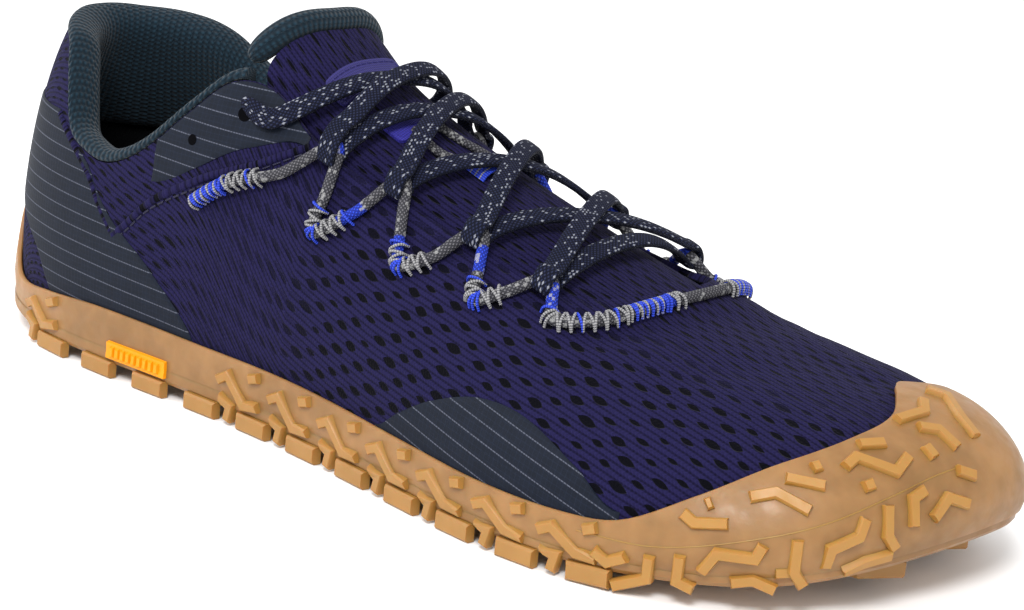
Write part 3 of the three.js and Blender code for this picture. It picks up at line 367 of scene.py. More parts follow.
def catmull(points, count, closed=False):
    """Evenly numbered points of a smooth line through the given ones."""
    points = np.asarray(points, float)
    n = len(points)
    around = np.arange(-1, n + 2)
    p = points[around % n] if closed else points[np.clip(around, 0, n - 1)]
    spans = n if closed else n - 1
    t = np.linspace(0, spans, count, endpoint=not closed)
    i = np.minimum(t.astype(int), spans - 1)
    s = (t - i)[:, None]
    a, b, c, d = p[i], p[i + 1], p[i + 2], p[i + 3]
    slope_b, slope_c = (c - a) / 2, (d - b) / 2
    square, cube = 3 * (c - b) - 2 * slope_b - slope_c, 2 * (b - c) + slope_b + slope_c
    return b + s * (slope_b + s * (square + s * cube))


def lengths_of(line):
    return np.concatenate([[0], np.cumsum(np.linalg.norm(np.diff(line, axis=0), axis=1))])


def evened(line, count):
    """The same line at even distances."""
    run = lengths_of(line)
    t = np.linspace(0, run[-1], count)
    return np.stack([np.interp(t, run, line[:, k]) for k in range(line.shape[1])], axis=1)


class Parts:
    """Points, faces and flat places of one piece, gathered before the mesh is made."""

    def __init__(self):
        self.points, self.faces, self.flats, self.tints, self.count = [], [], [], [], 0

    def put(self, points, faces, flats=None, tint=0.0):
        points = np.asarray(points, float).reshape(-1, 3)
        flats = np.zeros((len(points), 2)) if flats is None else np.asarray(flats, float).reshape(-1, 2)
        self.points.append(points)
        self.flats.append(flats)
        self.tints.append(np.broadcast_to(np.asarray(tint, float), len(points)))
        self.faces.extend(tuple(self.count + i for i in face) for face in faces)
        self.count += len(points)

    def grid(self, points, flats=None, tint=0.0, ring=False, loop=False, caps=True, skip=None):
        """Rows of points joined to the next; loop closes each row, ring closes last row to first."""
        rows, wide = points.shape[:2]
        faces = []
        for j in range(rows if ring else rows - 1):
            a, b = j * wide, (j + 1) % rows * wide
            for i in range(wide if loop else wide - 1):
                if skip is None or not skip(j, i):
                    k = (i + 1) % wide
                    faces.append((a + i, b + i, b + k, a + k))
        if loop and not ring and caps:
            faces.append(tuple(range(wide)))
            faces.append(tuple(reversed(range((rows - 1) * wide, rows * wide))))
        self.put(points, faces, flats, tint)

    def slab(self, upper, lower, flats=None, tint=0.0):
        """Two faces over one grid, closed round their edges."""
        rows, wide = upper.shape[:2]
        n = rows * wide
        faces = []
        for j in range(rows - 1):
            for i in range(wide - 1):
                a, b = j * wide + i, (j + 1) * wide + i
                faces.append((a, b, b + 1, a + 1))
                faces.append((n + a, n + a + 1, n + b + 1, n + b))
        rim = [*range(wide)] + [j * wide + wide - 1 for j in range(1, rows)]
        rim += [(rows - 1) * wide + i for i in range(wide - 2, -1, -1)] + [j * wide
            for j in range(rows - 2, 0, -1)]
        faces += [(a, b, n + b, n + a) for a, b in zip(rim, rim[1:] + rim[:1])]
        flats = None if flats is None else np.concatenate([flats.reshape(-1, 2)] * 2)
        self.put(np.concatenate([upper.reshape(-1, 3), lower.reshape(-1, 3)]), faces, flats, tint)

    def tube(self, line, ups, radius, sides=8, tint=0.0, flat=1.0):
        """A round or flattened strand along a line; its flat place is length and turn, in metres."""
        along = np.gradient(line, axis=0)
        along /= np.maximum(np.linalg.norm(along, axis=1, keepdims=True), 1e-9)
        across = np.cross(along, ups)
        across /= np.maximum(np.linalg.norm(across, axis=1, keepdims=True), 1e-9)
        rise = np.cross(across, along)
        turn = TAU * np.arange(sides) / sides
        c, s = np.cos(turn)[None, :, None], np.sin(turn)[None, :, None]
        points = line[:, None] + radius * (across[:, None] * c + rise[:, None] * s * flat)
        run = lengths_of(line)
        flats = np.stack(np.broadcast_arrays(run[:, None], radius * np.arccos(np.cos(turn))[None, :]),
            axis=-1) / 1000
        tints = np.repeat(np.broadcast_to(tint, len(line)), sides)
        self.grid(points, flats, tints, loop=True)

    def made(self, name, material, body="root", replaces=(), slot=None, merge=False, angle=40):
        """Makes the object, turns its faces outward and hangs it on its body."""
        mesh = bpy.data.meshes.new(name)
        points = (np.concatenate(self.points) + TO_FRAME) / 1000
        mesh.from_pydata(points.tolist(), [], self.faces)
        flats, tints = np.concatenate(self.flats), np.concatenate(self.tints)
        index = np.empty(len(mesh.loops), np.int32)
        mesh.loops.foreach_get("vertex_index", index)
        mesh.uv_layers.new(name="flat").data.foreach_set("uv", flats[index].astype(np.float32).ravel())
        mesh.attributes.new("tint", "FLOAT", "POINT").data.foreach_set("value", tints.astype(np.float32))
        made = bpy.data.objects.new(name, mesh)
        bpy.context.scene.collection.objects.link(made)
        select(made)
        bpy.ops.object.mode_set(mode="EDIT")
        bpy.ops.mesh.select_all(action="SELECT")
        if merge:
            bpy.ops.mesh.remove_doubles(threshold=2e-6)
        bpy.ops.mesh.normals_make_consistent(inside=False)
        bpy.ops.object.mode_set(mode="OBJECT")
        bpy.ops.object.shade_smooth_by_angle(angle=math.radians(angle))
        return placed(made, material, body, replaces)


def select(*objects):
    """Makes these the only selected objects, the last one active."""
    bpy.ops.object.select_all(action="DESELECT")
    for o in objects:
        o.select_set(True)
        bpy.context.view_layer.objects.active = o


def placed(made, material, body="root", replaces=()):
    """Gives a finished piece its material, body and the solids it stands for."""
    made.data.materials.clear()
    made.data.materials.append(material)
    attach(made, body)
    if replaces:
        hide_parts(*replaces)
    return made


def linear(code):
    """A hex sRGB colour as linear RGBA."""
    parts = [int(code[i : i + 2], 16) / 255 for i in (1, 3, 5)]
    return (*[c / 12.92 if c <= 0.04045 else ((c + 0.055) / 1.055) ** 2.4 for c in parts], 1.0)


def add_node(tree, kind, inputs=(), out=0, **settings):
    """Adds a node with its settings, values and links, and gives the socket that others read."""
    made = tree.nodes.new(f"ShaderNode{kind}")
    for name, value in settings.items():
        setattr(made, name, value)
    for name, value in (inputs.items() if isinstance(inputs, dict) else enumerate(inputs)):
        if isinstance(value, bpy.types.NodeSocket):
            tree.links.new(value, made.inputs[name])
        else:
            made.inputs[name].default_value = value
    return made.outputs[out] if made.outputs else None


class Surface:
    """What a material reads: places along and across in millimetres, the tint, and the place in space."""

    def __init__(self, tree):
        self.tree = tree
        flat = self.add("UVMap", uv_map="flat")
        self.u, self.v = (
            self.add("Math", [self.add("SeparateXYZ", [flat], out=k), 1000.0], operation="MULTIPLY")
            for k in (0, 1)
        )
        self.tint = self.add("Attribute", out="Fac", attribute_name="tint")
        self.place = self.add("TexCoord", out="Object")

    def add(self, kind, inputs=(), out=0, **settings):
        return add_node(self.tree, kind, inputs, out, **settings)

    def total(self, *terms, plus=0.0):
        """The sum of (value, weight) terms."""
        for value, weight in terms:
            plus = self.add("Math", [value, weight, plus], operation="MULTIPLY_ADD")
        return plus

    def wave(self, value, long):
        """From 0 to 1 and back, once in this many millimetres."""
        turned = self.add("Math", [value, TAU / long], operation="MULTIPLY")
        return self.total((self.add("Math", [turned], operation="SINE"), 0.5), plus=0.5)

    def cell(self, value, long):
        """The number of the stretch of this many millimetres, and the distance from its middle as a share."""
        counted = self.add("Math", [value, long], operation="DIVIDE")
        part = self.total((self.add("Math", [counted], operation="FRACT"), 1.0), plus=-0.5)
        return (
            self.add("Math", [counted], operation="FLOOR"),
            self.add("Math", [part], operation="ABSOLUTE"),
        )

    def drawn(self, column, row):
        """A random number for each pair of whole numbers."""
        both = self.add("CombineXYZ", [column, row])
        return self.add("TexWhiteNoise", {"Vector": both}, out="Value", noise_dimensions="2D")


SMOOTH = {"interpolation_type": "SMOOTHSTEP"}
COLOURS = {"data_type": "RGBA", "out": 2}


def material(name, build, bump_mm=0.3, **shader):
    """A principled material; build gives its colour, height and perhaps roughness from a Surface."""
    made = bpy.data.materials.new(name)
    made.use_nodes = True
    made.node_tree.nodes.clear()
    s = Surface(made.node_tree)
    look = build(s)
    values = {key.replace("_", " ").title().replace("Ior", "IOR"): v for key, v in shader.items()}
    values["Base Color"] = look["colour"]
    if "roughness" in look:
        values["Roughness"] = look["roughness"]
    if "height" in look:
        depth = {"Height": look["height"], "Distance": bump_mm / 1000, "Strength": 1.0}
        values["Normal"] = s.add("Bump", depth)
    s.add("OutputMaterial", {"Surface": s.add("BsdfPrincipled", values)})
    return made


def lens(s, pitch, row, long, wide, seed):
    """Lens-shaped holes in staggered rows, of uneven size: 1 inside a hole."""
    line, off_row = s.cell(s.v, row)
    stir = s.add("TexNoise", {"Vector": s.place, "Scale": 1000 / 14, "Detail": 2.0})
    place = s.total((s.u, 1 / pitch), (line, 0.5), (stir, 0.5))
    hole, off_middle = s.cell(place, 1.0)
    size = s.drawn(s.total((hole, 1.0), plus=seed), line)
    along = s.add("Math", [off_middle, 2 * pitch / long], operation="MULTIPLY")
    square = s.add("Math", [along, along], operation="MULTIPLY")
    edge = s.total((size, 0.6 * wide / 2), (square, -0.9 * wide / 2), plus=0.5 * wide / 2)
    return s.add("MapRange", [s.total((edge, 1.0), (off_row, -row)), -0.1, 0.12, 0.0, 1.0], **SMOOTH)


def knitted_mesh(s):
    """Nylon mesh, warp-knitted from dyed yarn: matte fine ribs, with lens-shaped openings painted near-black
    as the shade seen through them.
    """
    waver = s.add("TexNoise", {"Vector": s.place, "Scale": 1000 / 30, "Detail": 2.0})
    grain = s.add("TexNoise", {"Vector": s.place, "Scale": 1000 / 0.6, "Detail": 3.0})
    ribs = s.wave(s.total((s.v, 1.0), (waver, 1.2)), 1.4)
    stitches = s.wave(s.total((s.u, 1.0), (ribs, 0.5)), 0.9)
    holes = s.add("Math", [lens(s, 8.4, 2.7, 4.0, 1.9, 3.0), s.tint], operation="MULTIPLY")
    tight = s.total((s.tint, -1.0), plus=1.0)
    slits = s.add("Math", [lens(s, 6.6, 2.7, 4.2, 1.0, 7.0), tight], operation="MULTIPLY")
    opened = s.add("Math", [holes, slits], operation="MAXIMUM")
    lit = s.add("MapRange", [ribs, 0.0, 0.5, 0.0, 1.0], **SMOOTH)
    raised = s.add("MapRange", [ribs, 0.0, 0.6, 0.0, 1.0], **SMOOTH)
    tone = s.total((lit, 0.5), (stitches, 0.2), (grain, 0.5), plus=-0.15)
    body = s.add("Mix", {0: tone, 6: linear("#0A081C"), 7: linear("#201D44")}, **COLOURS)
    # painted shade: the openings are coloured near-black, the shade seen through the mesh
    outside = s.add("Mix", {0: opened, 6: body, 7: linear("#030309")}, **COLOURS)
    # painted shade: the inside face (tint 2) stands for the dark lining below the collar, coloured near-black
    # with the shade inside the shoe painted in
    inside = s.add("MapRange", [s.tint, 1.4, 1.6, 0.0, 1.0], **SMOOTH)
    return {
        "colour": s.add("Mix", {0: inside, 6: outside, 7: linear("#050608")}, **COLOURS),
        "height": s.total((raised, 0.22), (stitches, 0.14), (grain, 0.3), (opened, -1.3)),
    }


def lining_knit(s):
    """Polyester spacer knit, brushed and laid over foam: short slanted ribs under a soft nap."""
    row, _ = s.cell(s.v, 1.7)
    loops = s.wave(s.total((s.u, 1.0), (row, 0.7)), 1.4)
    ribs = s.wave(s.v, 1.7)
    dye = s.add("TexNoise", {"Vector": s.place, "Scale": 1000 / 0.7, "Detail": 2.0})
    nap = s.add("TexNoise", {"Vector": s.place, "Scale": 1000 / 0.8, "Detail": 2.0})
    knots = s.add("Math", [ribs, loops], operation="MULTIPLY")
    tone = s.total((knots, 0.7), (dye, 0.4))
    return {
        "colour": s.add("Mix", {0: tone, 6: linear("#0A131B"), 7: linear("#1D3340")}, **COLOURS),
        "height": s.total((ribs, 0.4), (loops, 0.4), (nap, 0.3)),
    }


def welded_film(s):
    """Thin plastic film, printed and heat-welded on: satin slate, pale lines and a faint ripstop grid."""
    _, off_line = s.cell(s.total((s.v, 1.0), (s.u, 0.04)), 3.5)
    pale = s.add("MapRange", [off_line, 0.05, 0.025, 0.0, 1.0], **SMOOTH)
    threads = [s.add("MapRange", [s.wave(side, 1.3), 0.85, 1.0, 0.0, 1.0], **SMOOTH) for side in (s.u, s.v)]
    grid = s.total(*[(thread, 0.5) for thread in threads])
    cloud = s.add("TexNoise", {"Vector": s.place, "Scale": 1000 / 3, "Detail": 2.0})
    stir = s.add("TexNoise", {"Vector": s.place, "Scale": 1000 / 2, "Detail": 2.0})
    dots = s.add("MapRange", [s.wave(s.total((s.u, 1.0), (stir, 2.0)), 0.8), 0.0, 0.5, 0.0, 1.0], **SMOOTH)
    tone = s.total((grid, 0.4), (cloud, 0.5))
    base = s.add("Mix", {0: tone, 6: linear("#0B1019"), 7: linear("#182031")}, **COLOURS)
    ink = s.add("Math", [pale, s.total((dots, 0.45), plus=0.2)], operation="MULTIPLY")
    return {
        "colour": s.add("Mix", {0: ink, 6: base, 7: linear("#5E6270")}, **COLOURS),
        "height": s.total((grid, 0.25), (pale, 0.3)),
    }


def gum_rubber(s):
    """Gum rubber, pressed in a satin mould: cloudy and translucent, yellower on ribs and lugs by the tint."""
    sizes = ((26, 3.0), (5, 2.0), (0.9, 3.0), (7, 2.0), (4, 2.0))
    wide, small, grain, swell, wear = (
        s.add("TexNoise", {"Vector": s.place, "Scale": 1000 / size, "Detail": detail}) for size,
        detail in sizes
    )
    cloud = s.add("MapRange", [s.total((wide, 0.6), (small, 0.4)), 0.3, 0.7, 0.0, 1.0], **SMOOTH)
    body = s.add("Mix", {0: cloud, 6: linear("#7A5629"), 7: linear("#946B3C")}, **COLOURS)
    return {
        "colour": s.add("Mix", {0: s.tint, 6: body, 7: linear("#A5772F")}, **COLOURS),
        "height": s.total((grain, 0.35), (swell, 0.4)),
        "roughness": s.add("MapRange", [wear, 0.3, 0.7, 0.4, 0.55], **SMOOTH),
    }


def plaited(s, lean, long):
    """Two slanting sets of yarns that cross: 1 where both stand high."""
    sets = [s.wave(s.total((s.u, 1.0), (s.v, way * lean)), long) for way in (1, -1)]
    return s.add("Math", sets, operation="MULTIPLY")


def braided_lace(s):
    """Polyester lace, braided as a tube and pressed flat: dark navy yarns with scattered pale picks."""
    slant = plaited(s, 1.2, 1.15)
    column, off_column = s.cell(s.v, 0.72)
    pick, off_pick = s.cell(s.total((s.u, 1.0), (column, 0.45)), 1.15)
    drawn = s.drawn(s.total((pick, 1.0), plus=11.0), column)
    picked = s.add("MapRange", [drawn, 0.76, 0.78, 0.0, 1.0], **SMOOTH)
    shape = s.add("MapRange", [s.total((off_pick, 1.5), (off_column, 1.7)), 0.75, 0.5, 0.0, 1.0], **SMOOTH)
    fleck = s.add("Math", [shape, picked], operation="MULTIPLY")
    lit = s.add("MapRange", [slant, 0.0, 0.6, 0.0, 1.0], **SMOOTH)
    raised = s.add("MapRange", [slant, 0.0, 0.8, 0.0, 1.0], **SMOOTH)
    body = s.add("Mix", {0: lit, 6: linear("#090B18"), 7: linear("#232841")}, **COLOURS)
    return {
        "colour": s.add("Mix", {0: s.total((fleck, 0.8)), 6: body, 7: linear("#8E919C")}, **COLOURS),
        "height": s.total((raised, 0.7), (fleck, 0.3)),
    }


def loop_cord(s):
    """Polyester cord, braided round: crossing grey yarns with pale flecks, cobalt where the tint is 1."""
    slant = plaited(s, 1.1, 1.1)
    drawn = s.drawn(s.cell(s.u, 0.8)[0], s.cell(s.v, 0.7)[0])
    fleck = s.add("MapRange", [drawn, 0.86, 0.9, 0.0, 1.0], **SMOOTH)
    lit = s.add("MapRange", [slant, 0.0, 0.6, 0.0, 1.0], **SMOOTH)
    grey = s.add("Mix", {0: lit, 6: linear("#2C2C31"), 7: linear("#67666B")}, **COLOURS)
    blue = s.add("Mix", {0: lit, 6: linear("#15237C"), 7: linear("#2F4CD0")}, **COLOURS)
    yarn = s.add("Mix", {0: s.tint, 6: grey, 7: blue}, **COLOURS)
    return {
        "colour": s.add("Mix", {0: s.total((fleck, 0.6)), 6: yarn, 7: linear("#A3A3A2")}, **COLOURS),
        "height": s.add("MapRange", [slant, 0.0, 0.8, 0.0, 1.0], **SMOOTH),
    }


def sewing_thread(s):
    """Polyester thread, twisted: a fine painted sheen along its twist, pale grey, cobalt at tint 1 and indigo
    at tint 2.
    """
    # painted sheen: the twist's bands are drawn as pale and dark tones of each colour; the same wave gives
    # the twist's relief
    twist_and_sheen = s.wave(s.u, 0.55)
    tones = (("#5B5B60", "#9B9A9A"), ("#14268C", "#2C49CF"), ("#0A0A1A", "#1C1A3C"))
    pale, blue, dark = (s.add("Mix", {0: twist_and_sheen, 6: linear(a), 7: linear(b)}, **COLOURS) for a, b in tones)
    dyed = s.add("MapRange", [s.tint, 0.4, 0.6, 0.0, 1.0], **SMOOTH)
    deep = s.add("MapRange", [s.tint, 1.4, 1.6, 0.0, 1.0], **SMOOTH)
    two = s.add("Mix", {0: dyed, 6: pale, 7: blue}, **COLOURS)
    return {"colour": s.add("Mix", {0: deep, 6: two, 7: dark}, **COLOURS), "height": twist_and_sheen}


def plain_weave(first, last):
    """Polyester ribbon or cloth, plain-woven from two near yarns: a close flat grain, left blank."""

    def build(s):
        weave = s.total((s.wave(s.u, 0.6), 0.5), (s.wave(s.v, 0.6), 0.5))
        slack = s.add("TexNoise", {"Vector": s.place, "Scale": 1000 / 2, "Detail": 2.0})
        tones = {0: weave, 6: linear(first), 7: linear(last)}
        return {"colour": s.add("Mix", tones, **COLOURS), "height": s.total((weave, 1.0), (slack, 0.4))}

    return build


def clouded(first, last, size_mm, relief_mm=None):
    """A plain surface between two near tones, with moulded relief where its grain is given."""

    def build(s):
        cloud = s.add("TexNoise", {"Vector": s.place, "Scale": 1000 / size_mm, "Detail": 2.0})
        look = {"colour": s.add("Mix", {0: cloud, 6: linear(first), 7: linear(last)}, **COLOURS)}
        if relief_mm:
            grain = s.add("TexNoise", {"Vector": s.place, "Scale": 1000 / relief_mm, "Detail": 2.0})
            look["height"] = s.total((grain, 0.3))
        return look

    return build


# how each finish is built, and its shader's own values
# yellow rubber is moulded with a fine grain, a punched hole is only shade, and the board is sprayed smooth
FINISHES = {
    "nylon_mesh": (knitted_mesh,
        dict(bump_mm=0.35, roughness=0.9, sheen_weight=0.02, specular_ior_level=0.06)),
    "teal_knit": (lining_knit, dict(bump_mm=0.45, roughness=0.9, sheen_weight=0.1, specular_ior_level=0.1)),
    "welded_film": (welded_film, dict(bump_mm=0.12, roughness=0.6, specular_ior_level=0.12)),
    "gum_rubber": (gum_rubber, dict(bump_mm=0.12, subsurface_weight=0.25, subsurface_scale=0.003)),
    "lace_braid": (braided_lace, dict(bump_mm=0.3, roughness=0.85, specular_ior_level=0.12)),
    "cord_braid": (loop_cord, dict(bump_mm=0.25, roughness=0.8, specular_ior_level=0.2)),
    "polyester_thread": (sewing_thread, dict(bump_mm=0.1, roughness=0.6, specular_ior_level=0.3)),
    "label_weave": (plain_weave("#1D1A4A", "#2E2A6E"),
        dict(bump_mm=0.12, roughness=0.7, specular_ior_level=0.3)),
    "keeper_weave": (plain_weave("#211E66", "#35319A"),
        dict(bump_mm=0.12, roughness=0.7, specular_ior_level=0.3)),
    # the sockliner is near-black: dark cloth, with painted shade deep inside the shoe
    "sockliner_cloth": (plain_weave("#08090C", "#14161C"),
        dict(bump_mm=0.2, roughness=0.95, specular_ior_level=0.1)),
    "yellow_rubber": (clouded("#D88400", "#F09A00", 3, 0.8),
        dict(bump_mm=0.1, roughness=0.5, specular_ior_level=0.3)),
    "punched_hole": (clouded("#020204", "#050508", 2), dict(roughness=0.95, specular_ior_level=0.05)),
    "painted_board": (clouded("#FBFBFB", "#FFFFFF", 400), dict(roughness=0.9)),
}
LOOKS = {}


def look(name):
    """Each material is made once, on first use."""
    if name not in LOOKS:
        build, settings = FINISHES[name]
        LOOKS[name] = material(name, build, **settings)
    return LOOKS[name]


class SHOE_PG_sizes(bpy.types.PropertyGroup):
    """Sizes that the looks are built to, beyond those of the solids."""

    columns: bpy.props.IntProperty(
        name="Columns", description="Columns of facets round the shoe", default=300, min=52, max=400
    )
    stitch_pitch: bpy.props.FloatProperty(
        name="Stitch pitch", description="Length of one seam stitch", default=0.0028, subtype="DISTANCE",
        unit="LENGTH"
    )
    couching_pitch: bpy.props.FloatProperty(
        name="Couching pitch", description="Distance between the white stitches over the cord",
        default=0.0011, subtype="DISTANCE", unit="LENGTH",
    )
    crease_depth: bpy.props.FloatProperty(
        name="Crease depth", description="Depth of the deepest soft trough in the upper",
        default=0.0009, subtype="DISTANCE", unit="LENGTH",
    )
    key_power: bpy.props.FloatProperty(name="Key light", description="Power of the key light", default=16.0,
        unit="POWER")


# at, girth from the crest in mm (outer negative), turn in degrees, length, width, share of the crease depth
CREASES = [
    (0.745, -10, 78, 34, 5, 0.7), (0.775, 6, 84, 44, 6, 0.6), (0.72, -30, 60, 26, 5, 0.8),
    (0.8, -26, 66, 30, 7, 0.5),
    (0.735, 30, -60, 26, 5, 0.8), (0.25, -66, 10, 46, 7, -0.5), (0.33, -60, 24, 40, 6, 0.5),
    (0.6, -48, 30, 30, 7, 0.5),
    (0.5, -52, 32, 30, 7, 0.4), (0.43, -56, 30, 26, 6, 0.4), (0.3, 56, -16, 44, 7, 0.5),
    (0.55, 50, -30, 34, 7, 0.5),
    (0.86, 10, 88, 40, 8, -0.4), (0.13, -52, -40, 24, 6, 0.5),
]


def crease_out(flats, depth):
    """How far the upper stands out at flat places, from soft troughs and ridges."""
    out = np.zeros(flats.shape[:-1])
    for at, side, turn, long, wide, share in CREASES:
        centre = np.array([x_at(at), side]) + [0, through(CREST, at) * BALL_WIDTH]
        turn = math.radians(turn)
        moved = flats * 1000 - centre
        along = moved[..., 0] * math.cos(turn) + moved[..., 1] * math.sin(turn)
        across = moved[..., 1] * math.cos(turn) - moved[..., 0] * math.sin(turn)
        out -= share * depth * np.exp(-((along / long * 2) ** 2) - (across / wide * 1.4) ** 2)
    return out


class SHOE_OT_upper(bpy.types.Operator):
    """Knits the upper: one wall with its openings, soft creases and rounded top edge"""

    bl_idname = "shoe.upper"
    bl_label = "Upper"

    def execute(self, context):
        sizes = context.scene.shoe_sizes
        angles = columns(sizes.columns)
        rows = 46
        parts = Parts()
        grid, flats, tints = [], [], []
        closed = [top_share(a) >= 1 for a in angles]
        for theta in angles:
            top = top_of(theta)
            ups = np.linspace(0, 1, rows) * top
            place = knit_at(theta, ups)
            out = crease_out(flat_at(theta, ups), sizes.crease_depth * 1000) * np.clip(ups / 12, 0, 1)
            middle = skin(theta, np.array([top + (0.25 if top_share(theta) < 1 else 0)]), -UPPER_WALL / 2)
            grid.append(np.concatenate([skin(theta, ups, out), middle,
                skin(theta, ups, out - UPPER_WALL)[::-1]]))
            flats.append(np.concatenate([place, place[-1:], place[::-1]]))
            share, high = share_at(theta), ups / girth_at(theta)
            wide = np.clip((share - 0.28) / 0.2, 0, 1) * np.clip((0.78 - high) / 0.25, 0, 1)
            # tint 2 marks the inside face, which the mesh colours near-black: dark lining with painted shade
            tints.append(np.concatenate([wide, wide[-1:], np.full(rows, 2.0)]))
        skip = lambda j, i: i in (rows - 1, rows) and closed[j] and closed[(j + 1) % len(angles)]
        parts.grid(np.array(grid), np.array(flats), np.array(tints).ravel(), ring=True, loop=True, skip=skip)
        parts.made("upper_mesh", look("nylon_mesh"), replaces=["upper"], slot="mesh", merge=True)
        return {"FINISHED"}


def rib(parts, path, width=RIB_WIDTH, height=RIB_HEIGHT, tint=0.6):
    """A moulded bar with chamfered edges along a path of [angle, up] on the rubber wall."""
    at = np.array([on_wall(t, np.array([u]), 0.0)[0] for t, u in path])
    normal = np.array([normals_at(t, np.array([float(u)]))[0] for t, u in path])
    leg = np.diff(at, axis=0)
    leg /= np.linalg.norm(leg, axis=1, keepdims=True)
    arriving, leaving = np.vstack([leg[:1], leg]), np.vstack([leg, leg[-1:]])
    along = arriving + leaving
    across = np.cross(along, normal)
    across /= np.linalg.norm(across, axis=1, keepdims=True)
    spread = np.sqrt((1 + (arriving * leaving).sum(1)) / 2)
    reach = (width / 2 / np.maximum(spread, 0.6))[:, None]
    profile = [(-1, -RIB_ROOT), (1, -RIB_ROOT), (1, height * 0.6), (0.74, height), (-0.74, height),
        (-1, height * 0.6)]
    ends = along / np.linalg.norm(along, axis=1, keepdims=True)
    rings = np.stack([at + across * reach * side + normal * out for side, out in profile], axis=1)
    rings[0, 3:5] += ends[0] * 0.35
    rings[-1, 3:5] -= ends[-1] * 0.35
    parts.grid(rings, tint=tint, loop=True)


# Paths of one repeat along the sides: along in RIB_PITCH, up in the wall's height, down in plate and lugs
SIDE_RIBS = [
    [(0.0, 0.46), (0.18, 0.62), (0.5, -0.11), (0.78, 0.17)],
    [(0.02, 0.05), (0.25, -0.33), (0.2, -0.86)],
]
SIDE_NUB = [(0.58, 0.72), (0.76, 0.82)]
EDGE_LUG = [(0.4, -0.69), (0.97, -0.69)]
# Paths on the toe bumper's outer side: share along the shoe, girth in BUMPER_HEIGHT
TOE_RIBS = [
    [(0.847, 0.28), (0.856, 0.24), (0.877, 0.245)],
    [(0.885, 0.37), (0.9, 0.39), (0.922, 0.29)],
    [(0.903, 0.465), (0.929, 0.4)],
    [(0.94, 0.485), (0.947, 0.53), (0.97, 0.395), (0.977, 0.455)],
    [(0.948, 0.61), (0.966, 0.57)],
    [(0.977, 0.69), (0.993, 0.66), (0.997, 0.73)],
    [(0.986, 0.59), (0.9925, 0.53), (0.9945, 0.41)],
    [(0.985, 0.48), (0.987, 0.4)],
    [(0.952, 0.36), (0.958, 0.365)],
    [(0.992, 0.315), (0.9955, 0.265)],
    [(0.79, 0.06), (0.8, -0.03), (0.815, 0.06)],
    [(0.831, 0.08), (0.829, -0.08), (0.805, -0.15)],
    [(0.851, 0.1), (0.849, -0.07), (0.86, -0.105)],
    [(0.864, 0.05), (0.873, 0.12), (0.895, 0.105), (0.899, 0.16)],
    [(0.917, 0.175), (0.916, 0.055), (0.922, -0.09)],
    [(0.933, -0.005), (0.936, 0.12), (0.951, 0.15), (0.954, 0.22)],
    [(0.965, 0.255), (0.965, 0.13), (0.969, 0.075)],
    [(0.976, 0.14), (0.976, 0.255), (0.981, 0.275)],
    [(0.983, 0.15), (0.988, 0.215), (0.993, 0.165)],
    [(0.881, -0.053), (0.894, -0.038), (0.907, -0.095)],
    [(0.944, 0.03), (0.955, 0.05), (0.968, 0.055)],
]
TOE_NUBS = [[(0.86, 0.325), (0.864, 0.34)], [(0.918, 0.51), (0.924, 0.52)], [(0.905, 0.0), (0.915, 0.0)]]
TIP_RIB = [(0.999, 0.82, 1), (0.998, 0.72, 1), (0.9995, 0.56, 0), (0.999, 0.43, 0)]


